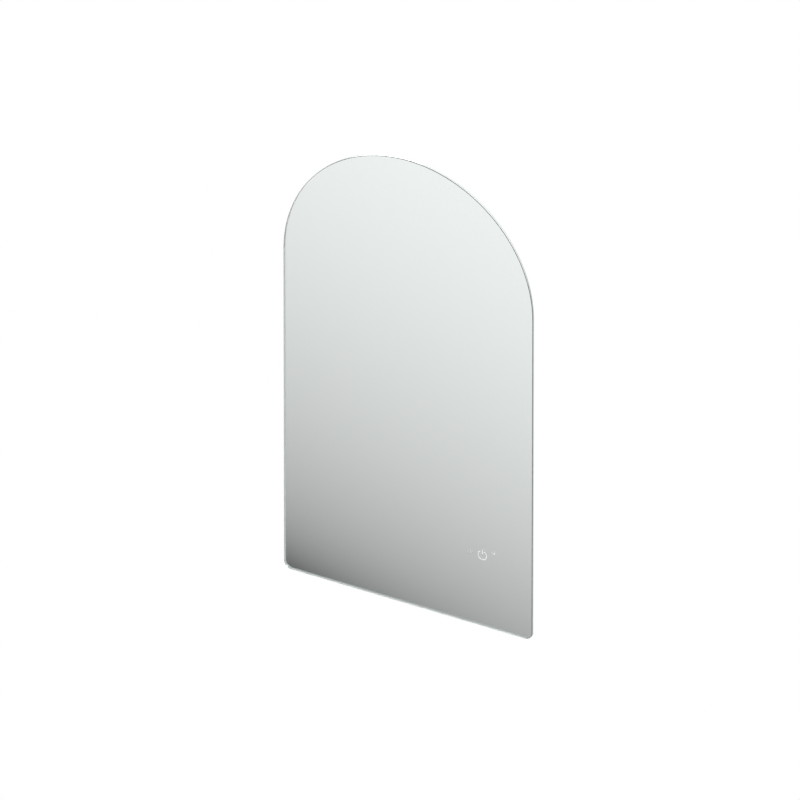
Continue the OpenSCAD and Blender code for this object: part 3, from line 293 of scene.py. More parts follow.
def makeSpangle():
    tree, given, wanted = startGroup("spangle", spangleLook["inputs"], ["Crystal", "Streak", "Boundary"])
    straight = objectPlace(tree)
    values = {"Vector": straight, "Scale": spangleLook["warpScale"], "Detail": 2.0}
    warped = addNode(tree, "TexNoise", values).outputs["Color"]
    values = {0: warped, 1: [spangleLook["warp"]] * 3, 2: straight}
    place = addNode(tree, "VectorMath", values, operation="MULTIPLY_ADD").outputs[0]
    pattern = {"Vector": place, "Scale": given["Scale"]}
    cells = addNode(tree, "TexVoronoi", pattern)
    borders = addNode(tree, "TexVoronoi", pattern, feature="DISTANCE_TO_EDGE")
    tone = addNode(tree, "SeparateColor", {0: cells.outputs["Color"]}).outputs["Red"]
    values = {"Vector": place, "Axis": (0, 1, 0), "Angle": product(tree, tone, 2 * math.pi)}
    turned = addNode(tree, "VectorRotate", values).outputs[0]
    drawn = stretch(tree, turned, (1, 1, spangleLook["streakAlong"]))
    fillInputs(tree, wanted, {
        "Crystal": tone,
        "Streak": noise(tree, spangleLook["streakScale"], detail=2, place=drawn),
        "Boundary": spread(tree, borders.outputs["Distance"], 0.0, spangleLook["border"], 1.0, 0.0),
    })
    return tree


grain = makeGrain()
edgeWear = makeEdgeWear()
dust = makeDust()
drawnLines = makeDrawnLines()
weave = makeWeave()
spangle = makeSpangle()
print("mirror: surface effects made")


def startMaterial(name):
    material = bpy.data.materials.new(name)
    material.use_nodes = True
    return material, material.node_tree, material.node_tree.nodes["Principled BSDF"]


def setSockets(tree, shader, **values):
    fillInputs(tree, shader, {name.replace("_", " "): value for name, value in values.items()})


def bump(tree, shader, height, depth):
    made = addNode(tree, "Bump", {"Height": height, "Distance": depth, "Strength": 1.0})
    tree.links.new(made.outputs["Normal"], shader.inputs["Normal"])


def addGrain(tree, scale, rough, **more):
    return useGroup(tree, grain, {"Scale": scale, "Smooth": rough[0], "Dull": rough[1], **more})


def addWear(tree, colour, bare, radius, amount):
    worn = useGroup(tree, edgeWear, {"Radius": radius, "Amount": amount})
    return blendColours(tree, worn["Mask"], colour, bare)


def addDust(tree, colour, amount, **more):
    settled = useGroup(tree, dust, {"Amount": amount, **more})
    return blendColours(tree, settled["Mask"], colour, dustLook["colour"])


coatRoughness = 0.15    # of the clear coat, where a plain finish has one


# A moulded, cast, plated or printed surface: mottled colour, grain, worn edges and dust
def makeSolid(name, look):
    material, tree, shader = startMaterial(name)
    mottle = drawOut(tree, noise(tree, look["mottleScale"], detail=4))
    colour = blendColours(tree, mottle, look["colour"], look["mottle"])
    if "worn" in look:
        colour = addWear(tree, colour, look["worn"], look["wornRadius"], look["wornAmount"])
    colour = addDust(tree, colour, look["dust"])
    grained = addGrain(tree, look["grain"], look["rough"])
    setSockets(tree, shader, Base_Color=colour, Roughness=grained["Roughness"])
    setSockets(tree, shader, Metallic=look.get("metal", 0.0))
    setSockets(tree, shader, Coat_Weight=look.get("coat", 0.0), Coat_Roughness=coatRoughness)
    if "scatter" in look:
        depths = [look["scatterDepth"]] * 3
        setSockets(tree, shader, Subsurface_Weight=look["scatter"], Subsurface_Radius=depths)
    bump(tree, shader, grained["Height"], look["depth"])
    return material


# Colours, roughness and grain of the plain finishes. Lengths are in metres, scales in cells per metre
solidLooks = {
    "whitePlastic": {
        "colour": (0.74, 0.75, 0.74), "mottle": (0.8, 0.81, 0.8), "mottleScale": 14,
        "rough": (0.42, 0.58), "grain": 1500, "depth": 0.00004,
        "worn": (0.88, 0.89, 0.88), "wornRadius": 0.0006, "wornAmount": 0.5, "dust": 0.35},
    "greyPlastic": {
        "colour": (0.36, 0.38, 0.39), "mottle": (0.4, 0.42, 0.43), "mottleScale": 16,
        "rough": (0.42, 0.6), "grain": 1300, "depth": 0.00005,
        "worn": (0.55, 0.57, 0.58), "wornRadius": 0.0006, "wornAmount": 0.6, "dust": 0.35},
    "darkPlastic": {
        "colour": (0.03, 0.03, 0.033), "mottle": (0.05, 0.05, 0.053), "mottleScale": 60,
        "rough": (0.38, 0.55), "grain": 2200, "depth": 0.00003,
        "worn": (0.14, 0.14, 0.15), "wornRadius": 0.0005, "wornAmount": 0.7, "dust": 0.25},
    "rubber": {
        "colour": (0.022, 0.022, 0.022), "mottle": (0.04, 0.039, 0.038), "mottleScale": 90,
        "rough": (0.6, 0.8), "grain": 1800, "depth": 0.00005,
        "worn": (0.09, 0.09, 0.088), "wornRadius": 0.0008, "wornAmount": 0.5, "dust": 0.5},
    "foam": {
        "colour": (0.74, 0.74, 0.72), "mottle": (0.66, 0.66, 0.64), "mottleScale": 300,
        "rough": (0.75, 0.9), "grain": 2600, "depth": 0.00012, "dust": 0.3},
    "opal": {
        "colour": (0.83, 0.83, 0.81), "mottle": (0.79, 0.79, 0.77), "mottleScale": 9,
        "rough": (0.28, 0.4), "grain": 700, "depth": 0.00001, "dust": 0.15,
        "scatter": 0.25, "scatterDepth": 0.003},
    "castKey": {
        "colour": (0.42, 0.43, 0.44), "mottle": (0.52, 0.53, 0.54), "mottleScale": 120, "metal": 1.0,
        "rough": (0.42, 0.62), "grain": 900, "depth": 0.00006, "dust": 0.2},
    "zincPlate": {
        "colour": (0.55, 0.56, 0.55), "mottle": (0.66, 0.66, 0.62), "mottleScale": 260, "metal": 1.0,
        "rough": (0.22, 0.4), "grain": 1600, "depth": 0.00001,
        "worn": (0.82, 0.82, 0.8), "wornRadius": 0.0003, "wornAmount": 0.8, "dust": 0.2},
    "ledStrip": {
        "colour": (0.8, 0.8, 0.77), "mottle": (0.74, 0.74, 0.71), "mottleScale": 80,
        "rough": (0.4, 0.5), "grain": 1500, "depth": 0.00002, "dust": 0.1},
    "phosphor": {
        "colour": (0.82, 0.68, 0.16), "mottle": (0.86, 0.76, 0.3), "mottleScale": 900,
        "rough": (0.15, 0.25), "grain": 2500, "depth": 0.00001, "dust": 0.0, "coat": 0.6},
    "copper": {
        "colour": (0.72, 0.36, 0.22), "mottle": (0.8, 0.45, 0.28), "mottleScale": 70, "metal": 1.0,
        "rough": (0.28, 0.42), "grain": 1200, "depth": 0.00001, "dust": 0.1},
    "brass": {
        "colour": (0.74, 0.55, 0.24), "mottle": (0.66, 0.48, 0.22), "mottleScale": 200, "metal": 1.0,
        "rough": (0.22, 0.36), "grain": 1500, "depth": 0.00001,
        "worn": (0.9, 0.75, 0.42), "wornRadius": 0.0003, "wornAmount": 0.7, "dust": 0.1},
    "ferrite": {
        "colour": (0.025, 0.025, 0.028), "mottle": (0.04, 0.04, 0.043), "mottleScale": 400,
        "rough": (0.5, 0.7), "grain": 2400, "depth": 0.00004, "dust": 0.2},
    "sleeve": {
        "colour": (0.02, 0.028, 0.075), "mottle": (0.025, 0.035, 0.09), "mottleScale": 300,
        "rough": (0.16, 0.28), "grain": 900, "depth": 0.00001, "dust": 0.15, "coat": 0.3},
    "polishedEdge": {
        "colour": (0.88, 0.94, 0.92), "mottle": (0.84, 0.9, 0.88), "mottleScale": 60, "metal": 0.75,
        "rough": (0.08, 0.2), "grain": 1400, "depth": 0.000004, "dust": 0.05, "coat": 0.5},
    "sheath": {
        "colour": (0.72, 0.72, 0.7), "mottle": (0.66, 0.66, 0.63), "mottleScale": 30,
        "rough": (0.34, 0.5), "grain": 1100, "depth": 0.00003, "dust": 0.4},
}

finishes = {name: makeSolid(name, look) for name, look in solidLooks.items()}

# Clear float glass, green where light runs along the pane, with the faintest wipe marks and ground arrises
floatGlass = {
    "clear": (1, 1, 1), "wiped": (0.0, 0.012), "wipeScale": 5.0, "wipeNoise": (0.45, 0.7),
    "ground": (0.58, 0.64, 0.62), "groundRough": (0.45, 0.65), "grain": 1400,
    "squareOn": 0.9,    # faces that look less squarely than this to the front or back are ground
    "ior": 1.52, "absorbed": (0.6, 0.95, 0.85), "density": 8.0,
}


def makeGlass():
    material, tree, shader = startMaterial("floatGlass")
    facing = calculate(tree, "ABSOLUTE", normalAxes(tree)["Y"])
    arris = calculate(tree, "LESS_THAN", facing, floatGlass["squareOn"])
    marks = noise(tree, floatGlass["wipeScale"], detail=5)
    wiped = spread(tree, marks, *floatGlass["wipeNoise"], *floatGlass["wiped"])
    grained = addGrain(tree, floatGlass["grain"], floatGlass["groundRough"])
    rough = calculate(tree, "MAXIMUM", wiped, product(tree, arris, grained["Roughness"]))
    colour = blendColours(tree, arris, floatGlass["clear"], floatGlass["ground"])
    setSockets(tree, shader, Base_Color=colour, Roughness=rough)
    setSockets(tree, shader, Transmission_Weight=1.0, IOR=floatGlass["ior"])
    values = {"Color": (*floatGlass["absorbed"], 1), "Density": floatGlass["density"]}
    inside = addNode(tree, "VolumeAbsorption", values)
    tree.links.new(inside.outputs["Volume"], tree.nodes["Material Output"].inputs["Volume"])
    return material


# Silver on the face that the glass covers, grey paint on the back and the edge
silverLook = {
    "silver": (0.955, 0.962, 0.962),
    "frontTo": -0.5,    # normals on the front have a Y below this
    "paint": (0.2, 0.22, 0.22), "paintMottle": (0.25, 0.27, 0.27), "mottleScale": 40,
    "paintRough": (0.4, 0.55), "grain": 1200,
}


def makeSilverAndPaint():
    material, tree, shader = startMaterial("silverAndPaint")
    painted = calculate(tree, "GREATER_THAN", normalAxes(tree)["Y"], silverLook["frontTo"])
    mottle = drawOut(tree, noise(tree, silverLook["mottleScale"], detail=4))
    paint = blendColours(tree, mottle, silverLook["paint"], silverLook["paintMottle"])
    grained = addGrain(tree, silverLook["grain"], silverLook["paintRough"])
    setSockets(
        tree, shader,
        Base_Color=blendColours(tree, painted, silverLook["silver"], paint),
        Roughness=product(tree, painted, grained["Roughness"]),
        Metallic=calculate(tree, "SUBTRACT", 1.0, painted))
    return material


# Woven safety film, glued down and slightly creased
filmLook = {
    "tape": (0.43, 0.47, 0.49), "tapeOver": (0.48, 0.52, 0.54), "glueLine": (0.38, 0.42, 0.44),
    "pitch": 0.004, "gapTo": 0.6, "depth": 0.00018, "rough": (0.34, 0.5), "grain": 500, "patch": 9,
    "creaseScale": 18, "creaseHeight": 1.6,    # times the height of the weave
    "dust": 0.35, "dustScale": 12,
}


def makeFilm():
    material, tree, shader = startMaterial("wovenFilm")
    woven = useGroup(tree, weave, {"Pitch": filmLook["pitch"]})
    colour = blendColours(tree, woven["Shade"], filmLook["tape"], filmLook["tapeOver"])
    gap = spread(tree, woven["Height"], 0.0, filmLook["gapTo"], 1.0, 0.0)
    colour = blendColours(tree, gap, colour, filmLook["glueLine"])
    colour = addDust(tree, colour, filmLook["dust"], Scale=filmLook["dustScale"])
    grained = addGrain(tree, filmLook["grain"], filmLook["rough"], Patch=filmLook["patch"])
    setSockets(tree, shader, Base_Color=colour, Roughness=grained["Roughness"])
    creases = noise(tree, filmLook["creaseScale"], detail=5)
    height = calculate(tree, "MULTIPLY_ADD", creases, filmLook["creaseHeight"], woven["Height"])
    bump(tree, shader, height, filmLook["depth"])
    return material


# Satin anodised extrusion, with die lines along each length and round the arch
anodised = {
    "colour": (0.66, 0.67, 0.68), "streak": (0.76, 0.77, 0.78), "rough": (0.3, 0.44), "grain": 1600,
    "depth": 0.000025, "grainHeight": 0.3,    # times the height of the die lines
    "worn": (0.9, 0.91, 0.92), "wornRadius": 0.0004, "wornAmount": 0.7, "dust": 0.2,
    "archRadius": 0.2,      # metres along the arch for each radian
}


# Place on a profile: two directions across it, and the last one along it
def profilePlace(tree, run):
    place = placeAxes(tree)
    order = {"legs": ("X", "Y", "Z"), "bottom": ("Z", "Y", "X")}
    if run in order:
        first, second, along = (place[axis] for axis in order[run])
    else:
        rise = calculate(tree, "SUBTRACT", place["Z"], archCentre)
        first = calculate(tree, "SQRT", sumOfSquares(tree, place["X"], rise))
        second = place["Y"]
        along = product(tree, calculate(tree, "ARCTAN2", rise, place["X"]), anodised["archRadius"])
    return addNode(tree, "CombineXYZ", {"X": first, "Y": second, "Z": along}).outputs[0]


def makeAnodised(run):
    material, tree, shader = startMaterial("anodised_" + run)
    lines = useGroup(tree, drawnLines, {"Place": profilePlace(tree, run)})
    colour = blendColours(tree, drawOut(tree, lines["Streak"]), anodised["colour"], anodised["streak"])
    colour = addWear(tree, colour, anodised["worn"], anodised["wornRadius"], anodised["wornAmount"])
    colour = addDust(tree, colour, anodised["dust"])
    grained = addGrain(tree, anodised["grain"], anodised["rough"])
    setSockets(tree, shader, Base_Color=colour, Roughness=grained["Roughness"], Metallic=1.0)
    height = calculate(tree, "MULTIPLY_ADD", grained["Height"], anodised["grainHeight"], lines["Line"])
    bump(tree, shader, height, anodised["depth"])
    return material


# Zinc-coated steel sheet
zincSheet = {
    "dark": (0.55, 0.57, 0.58), "light": (0.66, 0.68, 0.69), "scale": 170,
    "crystalTone": 0.6, "streakTone": 0.5, "crystalRough": 0.07,    # what crystals add to tone and roughness
    "rough": (0.32, 0.46), "grain": 900, "depth": 0.00001,
    "cut": (0.4, 0.39, 0.37), "cutRadius": 0.0003, "cutAmount": 0.8, "dust": 0.35,
}


def makeZincSheet():
    material, tree, shader = startMaterial("zincSheet")
    crystals = useGroup(tree, spangle, {"Scale": zincSheet["scale"]})
    base = product(tree, crystals["Crystal"], zincSheet["crystalTone"])
    tone = calculate(tree, "MULTIPLY_ADD", crystals["Streak"], zincSheet["streakTone"], base)
    colour = blendColours(tree, tone, zincSheet["dark"], zincSheet["light"])
    colour = addWear(tree, colour, zincSheet["cut"], zincSheet["cutRadius"], zincSheet["cutAmount"])
    colour = addDust(tree, colour, zincSheet["dust"])
    grained = addGrain(tree, zincSheet["grain"], zincSheet["rough"])
    rough = calculate(
        tree, "MULTIPLY_ADD", crystals["Crystal"], zincSheet["crystalRough"], grained["Roughness"])
    setSockets(tree, shader, Base_Color=colour, Roughness=rough, Metallic=1.0)
    bump(tree, shader, calculate(tree, "ADD", crystals["Boundary"], grained["Height"]), zincSheet["depth"])
    return material


# Clear polyester over aluminium foil, with the small creases of a laminated heater, and painted shade along
# their folds
foilLook = {
    "colour": (0.7, 0.71, 0.72), "creaseShade": (0.64, 0.65, 0.66), "metal": 0.85,
    "rough": (0.26, 0.4), "grain": 500, "coat": 0.7, "coatRough": 0.12, "depth": 0.00015,
    "foldScale": 26.0, "foldTwist": 0.8, "folds": 4.0, "foldHeight": 0.15,
    "softScale": 22,
}


def makeFoil():
    material, tree, shader = startMaterial("heatingFoil")
    values = {"Vector": objectPlace(tree), "Scale": foilLook["foldScale"], "Detail": 2.0,
              "Distortion": foilLook["foldTwist"]}
    warped = product(tree, addNode(tree, "TexNoise", values).outputs["Fac"], foilLook["folds"])
    fold = spread(tree, calculate(tree, "PINGPONG", warped, 1.0), 0.0, 1.0, 0.0, 1.0, "SMOOTHSTEP")
    soft = noise(tree, foilLook["softScale"], detail=4)
    # Painted shade: the colour darkens along the folds
    colour = blendColours(tree, product(tree, fold, soft), foilLook["colour"], foilLook["creaseShade"])
    grained = addGrain(tree, foilLook["grain"], foilLook["rough"])
    setSockets(tree, shader, Base_Color=colour, Roughness=grained["Roughness"], Metallic=foilLook["metal"])
    setSockets(tree, shader, Coat_Weight=foilLook["coat"], Coat_Roughness=foilLook["coatRough"])
    height = calculate(tree, "MULTIPLY_ADD", fold, foilLook["foldHeight"], soft)
    bump(tree, shader, height, foilLook["depth"])
    return material


# Printed circuit board: green mask over tracks, with tinned pads
boardLook = {
    "mask": (0.012, 0.09, 0.035), "track": (0.03, 0.17, 0.06), "pad": (0.62, 0.6, 0.55),
    "cell": 260.0, "disorder": 0.6, "trackFrom": 0.55, "padTo": 0.16,
    "rough": (0.22, 0.34), "grain": 1500, "depth": 0.00003,
}


def makeBoard():
    material, tree, shader = startMaterial("circuitBoard")
    values = {"Vector": objectPlace(tree), "Scale": boardLook["cell"], "Randomness": boardLook["disorder"]}
    cells = addNode(tree, "TexVoronoi", values, distance="CHEBYCHEV")
    tone = addNode(tree, "SeparateColor", {0: cells.outputs["Color"]}).outputs["Green"]
    track = calculate(tree, "GREATER_THAN", tone, boardLook["trackFrom"])
    pad = calculate(tree, "LESS_THAN", cells.outputs["Distance"], boardLook["padTo"])
    colour = blendColours(tree, track, boardLook["mask"], boardLook["track"])
    colour = blendColours(tree, pad, colour, boardLook["pad"])
    grained = addGrain(tree, boardLook["grain"], boardLook["rough"])
    setSockets(tree, shader, Base_Color=colour, Roughness=grained["Roughness"])
    bump(tree, shader, track, boardLook["depth"])
    return material


# The opal window glows with painted light, in place of the light that the glass in front keeps from it:
# most at the ring, less at the brightness symbol on its right, and least at the demist symbol on its left.
# The places are shares of the window's width
glowPaintedWindow = {
    "glow": (0.96, 0.98, 1), "faint": (0.42, 0.43, 0.44), "strength": 0.5,
    "faintTo": 0.25, "fullFrom": 0.34,    # between the demist symbol and the ring
    "fullTo": 0.67, "dimFrom": 0.75,      # between the ring and the brightness symbol
    "dim": 0.58,
}


def makeGlowPaintedWindow():
    material = finishes["opal"].copy()
    material.name = "glowPaintedWindow"
    tree = material.node_tree
    low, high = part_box("sensor_window")
    across = placeAxes(tree)["X"]
    places = ("faintTo", "fullFrom", "fullTo", "dimFrom")
    faintTo, fullFrom, fullTo, dimFrom = (low.x + (high.x - low.x) * glowPaintedWindow[key] for key in places)
    rising = spread(tree, across, faintTo, fullFrom, 0.0, 1.0)
    falling = spread(tree, across, fullTo, dimFrom, 1.0, glowPaintedWindow["dim"])
    glow = blendColours(tree, product(tree, rising, falling), glowPaintedWindow["faint"], glowPaintedWindow["glow"])
    shader = tree.nodes["Principled BSDF"]
    # The emission is painted light on a part that is no lamp
    setSockets(tree, shader, Emission_Color=glow, Emission_Strength=glowPaintedWindow["strength"])
    return material


finishes["glowPaintedWindow"] = makeGlowPaintedWindow()
finishes["glass"] = makeGlass()
finishes["silver"] = makeSilverAndPaint()
finishes["film"] = makeFilm()
for run in ("legs", "bottom", "arch"):
    finishes[run] = makeAnodised(run)
finishes["zincSheet"] = makeZincSheet()
finishes["foil"] = makeFoil()
finishes["board"] = makeBoard()

# The finish of each of the record's material slots
slotFinish = {
    "glass": "glass", "silver": "silver", "film": "film", "foam": "foam", "profile": "legs",
    "cast_key": "castKey", "steel_sheet": "zincSheet", "fastener": "zincPlate", "rubber": "rubber",
    "opal": "opal", "led_strip": "ledStrip", "led": "phosphor", "foil": "foil", "copper": "copper",
    "brass": "brass", "board": "board", "white_plastic": "whitePlastic", "grey_plastic": "greyPlastic",
    "dark_plastic": "darkPlastic", "ferrite": "ferrite", "capacitor": "sleeve", "lead": "sheath",
}
nodeFinish = {"bottom_profile": "bottom", "arch_profile": "arch", "sensor_window": "glowPaintedWindow"}


def dressNodes():
    for entry in frame["record"]["subparts"]:
        name = entry["node"]
        chosen = nodeFinish.get(name, slotFinish[entry["material_slot"]])
        data = frame["nodes"][name].data
        data.materials.clear()
        data.materials.append(finishes[chosen])


dressNodes()
print("mirror: finishes on every node")

mergeWithin = 0.002 * mm    # points of a node's loose triangles that are one point


def smoothAndWeld(name):
    piece = frame["nodes"][name]
    for face in piece.data.polygons:
        face.use_smooth = True
    weld = piece.modifiers.new("weld", "WELD")
    weld.merge_threshold = mergeWithin
    return piece


# Rounding of the nodes' edges, in millimetres
edgeRounding = {
    "wall_cleat": 0.3, "hanging_rail": 0.25, "gear_tray": 0.25,
    "left_profile": 0.25, "right_profile": 0.25, "bottom_profile": 0.25, "arch_profile": 0.25,
    "driver_case": 0.5, "driver_lid": 0.4, "junction_box": 0.5, "junction_lid": 0.4,
    "sensor_housing": 0.4, "wall_bumpers": 0.6, "terminal_block": 0.3, "cable_clips": 0.25,
    "cable_gland": 0.4, "gland_locknut": 0.3, "gland_nut": 0.4, "demister_terminal": 0.3,
    "corner_keys": 0.3, "arch_keys": 0.3, "arch_diffuser": 0.15, "side_diffusers": 0.15,
    "bottom_diffuser": 0.15, "rail_screws": 0.12, "tray_screws": 0.12, "driver_screws": 0.12,
    "junction_screws": 0.1, "driver_lid_screws": 0.1, "junction_lid_screws": 0.1,
}
roundingWay = {"flatWithin": 0.3, "sharpFrom": 32, "segments": 2, "flatWeight": 100}    # angles in degrees


def roundEdges(name, radius):
    piece = smoothAndWeld(name)
    flat = piece.modifiers.new("flatFaces", "DECIMATE")
    flat.decimate_type = "DISSOLVE"
    flat.angle_limit = math.radians(roundingWay["flatWithin"])
    edges = piece.modifiers.new("edges", "BEVEL")
    edges.width = radius * mm
    edges.segments = roundingWay["segments"]
    edges.limit_method = "ANGLE"
    edges.angle_limit = math.radians(roundingWay["sharpFrom"])
    edges.face_strength_mode = "FSTR_AFFECTED"
    shading = piece.modifiers.new("shading", "WEIGHTED_NORMAL")
    shading.weight = roundingWay["flatWeight"]
    shading.use_face_influence = True


for nodeName, radius in edgeRounding.items():
    roundEdges(nodeName, radius)

# Leads are drawn eight-sided, and are subdivided and then filled out to their real thickness, in millimetres
leadSwell = {"supply_lead": 0.24, "led_lead": 0.16, "sensor_lead": 0.16, "demister_lead": 0.12}


def smoothLead(name, swell):
    piece = smoothAndWeld(name)
    rounded = piece.modifiers.new("rounded", "SUBSURF")
    rounded.levels = 2
    rounded.render_levels = 2
    full = piece.modifiers.new("fullThickness", "DISPLACE")
    full.strength = swell * mm
    full.mid_level = 0.0


for nodeName, swell in leadSwell.items():
    smoothLead(nodeName, swell)
print("mirror: edges rounded and leads smoothed")


def copyShape(node):
    shape = bmesh.new()
    shape.from_mesh(frame["nodes"][node].data)
    bmesh.ops.remove_doubles(shape, verts=shape.verts, dist=mergeWithin)
    shape.normal_update()
    return shape


def meshFrom(shape, name):
    data = bpy.data.meshes.new(name)
    shape.to_mesh(data)
    shape.free()
    return data


def standFor(node, name, shape, wanted):
    data = meshFrom(shape, name)
    for finish in wanted:
        data.materials.append(finishes[finish])
    piece = bpy.data.objects.new(name, data)
    scene.collection.objects.link(piece)
    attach(piece, "mirror")
    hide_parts(node)


# The pane is clear through its faces and arrises. Its flat edge has a finish of its own
panePiece = {"edgeTo": 0.3}    # how squarely a face of the edge may look to the front or the back


def makePane():
    shape = copyShape("mirror_glass")
    for face in shape.faces:
        face.material_index = int(abs(face.normal.y) < panePiece["edgeTo"])
    standFor("mirror_glass", "pane", shape, ("glass", "polishedEdge"))


# The silver lies on the glass with no air between, so its face is a hair inside the pane
silverPiece = {"intoGlass": 0.05}    # millimetres


def makeSilver():
    shape = copyShape("silver_coat")
    low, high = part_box("silver_coat")
    front = [vertex for vertex in shape.verts if vertex.co.y < (low.y + high.y) / 2]
    bmesh.ops.translate(shape, verts=front, vec=(0, -silverPiece["intoGlass"] * mm, 0))
    standFor("silver_coat", "silver", shape, ("silver",))


makePane()
makeSilver()
print("mirror: pane ground at its edge and silver laid on its back")

# Pale floor under the mirror, and a glowing sweep of card in front, with painted shade in its glow, that
# only reflections show. Lengths are in metres
studio = {
    "floorDrop": 1.05,      # from the glass to the floor
    "halfWidth": 12.0,
    "cardBack": 0.5,        # how far the card reaches behind the wall
    "cardAt": 6.0,          # from the wall to the upright part of the card
    "cardCurve": 1.5,
    "curveSteps": 12,
    "cardTop": 4.5,
    # The card's glow holds painted shade: a painted wall shadow near the mirror's foot, painted shade in the
    # bend, and a dimmer top
    "open": 1.208,          # brightness of the open floor, as the mirror sees it
    "brightest": 1.057,
    "softly": 0.1,          # how gently the one gives way to the other
    "shadowAt": 1.254,      # where the shade of the wall is measured from
    "shades": ((0.089, 0.0765), (0.834, 0.957)),    # how deep, and over how many metres it fades
    "shadowSlant": 0.306,   # the shade is stronger to the left
    "darkest": 0.12,
    "cornerShade": 0.5,     # shade in the bend of the card
    "cornerReach": 1.2,
    "topShade": 0.78,       # of the upright part, which only shows from below
    "topFrom": 1.0,         # above the floor
    "topTo": 2.6,
}
floorHeight = glassLow.z - studio["floorDrop"]
paleFloor = {
    "colour": (0.8, 0.8, 0.8, 1), "rough": (0.7, 0.85), "noise": (0.3, 0.7), "scale": 3,
    "underCard": 2,    # millimetres
}


def placeStage(name, shape, material):
    data = meshFrom(shape, name)
    data.materials.append(material)
    item = bpy.data.objects.new(name, data)
    item.visible_camera = False
    scene.collection.objects.link(item)
    return item


def makeFloor():
    shape = bmesh.new()
    bmesh.ops.create_grid(shape, x_segments=1, y_segments=1, size=studio["halfWidth"])
    bmesh.ops.translate(shape, verts=shape.verts, vec=(0, 0, floorHeight - paleFloor["underCard"] * mm))
    material, tree, shader = startMaterial("paleFloor")
    patches = noise(tree, paleFloor["scale"])
    rough = spread(tree, patches, *paleFloor["noise"], *paleFloor["rough"])
    setSockets(tree, shader, Base_Color=paleFloor["colour"], Roughness=rough)
    floor = placeStage("studioFloor", shape, material)
    floor.visible_glossy = False
    floor.visible_transmission = False


def extrudeBy(shape, edges, step):
    made = bmesh.ops.extrude_edge_only(shape, edges=edges)["geom"]
    points = [item for item in made if isinstance(item, bmesh.types.BMVert)]
    bmesh.ops.translate(shape, verts=points, vec=step)
    return [item for item in made if isinstance(item, bmesh.types.BMEdge)]


def makeCard():
    shape = bmesh.new()
    half = studio["halfWidth"]
    back = studio["cardBack"]
    bendStart = studio["cardCurve"] - studio["cardAt"]
    ends = [shape.verts.new((side * half, back, floorHeight)) for side in (-1, 1)]
    line = [shape.edges.new(ends)]
    line = extrudeBy(shape, line, (0, bendStart - back, 0))
    bent = bmesh.ops.spin(
        shape, geom=line + list(line[0].verts), cent=(0, bendStart, floorHeight + studio["cardCurve"]),
        axis=(1, 0, 0), angle=-math.pi / 2, steps=studio["curveSteps"])["geom_last"]
    line = [item for item in bent if isinstance(item, bmesh.types.BMEdge)]
    extrudeBy(shape, line, (0, 0, studio["cardTop"]))
    card = placeStage("studioCard", shape, makeCardLight())
    card.visible_diffuse = False
    card.visible_shadow = False


# What is left of a light at some distance from a shade of the given depth
def fade(tree, distance, reach, depth, light):
    fading = calculate(tree, "EXPONENT", calculate(tree, "DIVIDE", distance, -reach))
    return calculate(tree, "MULTIPLY_ADD", fading, -depth, light)


# The card glows with painted shade: a painted wall shadow, dark at the foot of the wall and open further
# out, and painted shade again in its bend
def makeCardLight():
    material, tree, shader = startMaterial("studioCard")
    place = placeAxes(tree)
    slanted = calculate(tree, "MULTIPLY_ADD", place["X"], studio["shadowSlant"], -studio["shadowAt"])
    away = calculate(tree, "SUBTRACT", slanted, place["Y"])
    foot = studio["open"]
    for depth, reach in studio["shades"]:
        foot = fade(tree, away, reach, depth, foot)
    foot = calculate(tree, "SMOOTH_MIN", foot, studio["brightest"], studio["softly"])
    outwards = calculate(tree, "ADD", place["Y"], studio["cardAt"])
    upwards = calculate(tree, "SUBTRACT", place["Z"], floorHeight)
    fromCorner = calculate(tree, "SQRT", sumOfSquares(tree, outwards, upwards))
    corner = fade(tree, fromCorner, studio["cornerReach"], studio["cornerShade"], 1.0)
    top = spread(tree, upwards, studio["topFrom"], studio["topTo"], 1.0, studio["topShade"], "SMOOTHSTEP")
    strength = calculate(tree, "MAXIMUM", product(tree, foot, corner, top), studio["darkest"])
    glow = addNode(tree, "Emission", {"Strength": strength})
    tree.links.new(glow.outputs[0], tree.nodes["Material Output"].inputs["Surface"])
    return material


makeFloor()
makeCard()

# World: a plain level for the light, white behind the object, and a soft gradient in what shines
worldLook = {
    "light": 0.6, "behind": 1.0,
    "shineLow": 0.5, "shineHigh": 0.9, "shineFrom": -0.5, "shineTo": 0.6,    # from below and from above
    "panels": (((0.72, 0.55, 0.42), 0.3), ((-0.66, 0.7, 0.28), 0.25), ((0.0, 0.15, 0.99), 0.2)),
    "panelEdge": (0.72, 0.9),      # cosines of the angle from a panel's middle
}


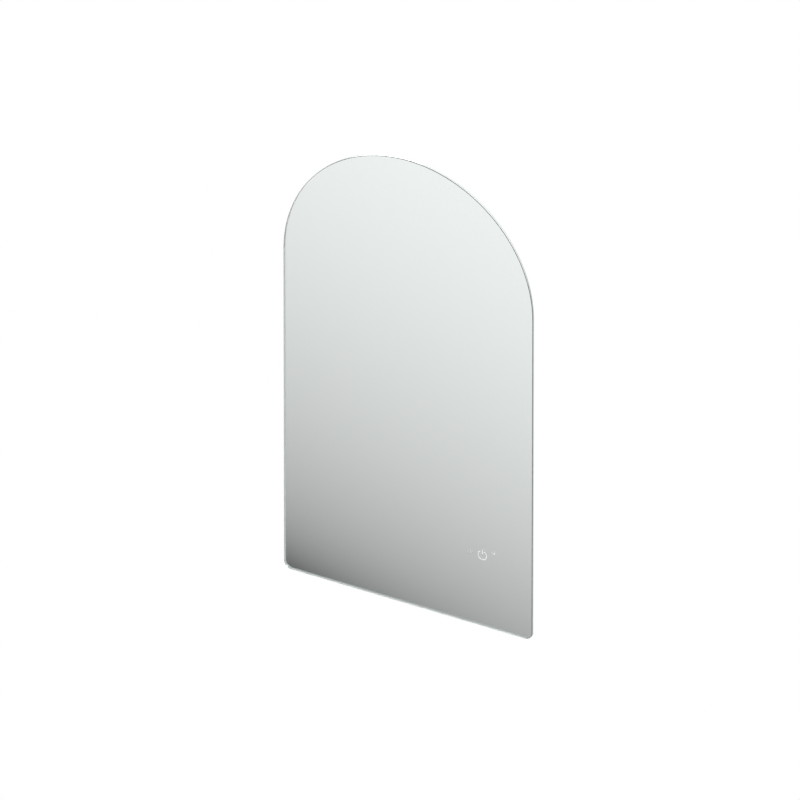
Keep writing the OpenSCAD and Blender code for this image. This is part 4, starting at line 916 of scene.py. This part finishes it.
def makeWorld():
    world = bpy.data.worlds.new("studio")
    world.use_nodes = True
    tree = world.node_tree
    direction = addNode(tree, "TexCoord").outputs["Generated"]
    height = addNode(tree, "SeparateXYZ", {0: direction}).outputs["Z"]
    level = spread(tree, height, worldLook["shineFrom"], worldLook["shineTo"], worldLook["shineLow"],
                   worldLook["shineHigh"], "SMOOTHSTEP")
    for towards, brightness in worldLook["panels"]:
        facing = cosineBetween(tree, direction, Vector(towards).normalized())
        panel = spread(tree, facing, *worldLook["panelEdge"], 0.0, brightness, "SMOOTHSTEP")
        level = calculate(tree, "ADD", level, panel)
    path = addNode(tree, "LightPath").outputs
    white = (1, 1, 1, 1)
    shine, light, behind = (
        addNode(tree, "Background", {"Color": white, "Strength": strength}).outputs[0]
        for strength in (level, worldLook["light"], worldLook["behind"]))
    shiny = calculate(tree, "MAXIMUM", path["Is Glossy Ray"], path["Is Transmission Ray"])
    straight = calculate(tree, "LESS_THAN", path["Glossy Depth"], 0.5)    # with no reflection on the way
    through = product(tree, path["Is Transmission Ray"], straight)
    seen = calculate(tree, "MAXIMUM", path["Is Camera Ray"], through)
    first = addNode(tree, "MixShader", {0: shiny, 1: light, 2: shine})
    second = addNode(tree, "MixShader", {0: seen, 1: first.outputs[0], 2: behind})
    tree.links.new(second.outputs[0], tree.nodes["World Output"].inputs["Surface"])
    scene.world = world


makeWorld()

# Two large soft lamps, in front and behind, with their size in metres and their power in watts
lamps = {
    "keyLamp": {"at": (2.2, -2.8, 2.4), "size": 2.2, "power": 70},
    "backLamp": {"at": (-2.4, 2.8, 1.9), "size": 2.2, "power": 60},
}


def placeLamp(name, lamp):
    data = bpy.data.lights.new(name, "AREA")
    data.shape = "SQUARE"
    data.size = lamp["size"]
    data.energy = lamp["power"]
    item = bpy.data.objects.new(name, data)
    item.location = lamp["at"]
    item.rotation_mode = "QUATERNION"
    item.rotation_quaternion = (glassCentre - Vector(lamp["at"])).to_track_quat("-Z", "Y")
    scene.collection.objects.link(item)


for lampName, lamp in lamps.items():
    placeLamp(lampName, lamp)
print("mirror: studio ready")
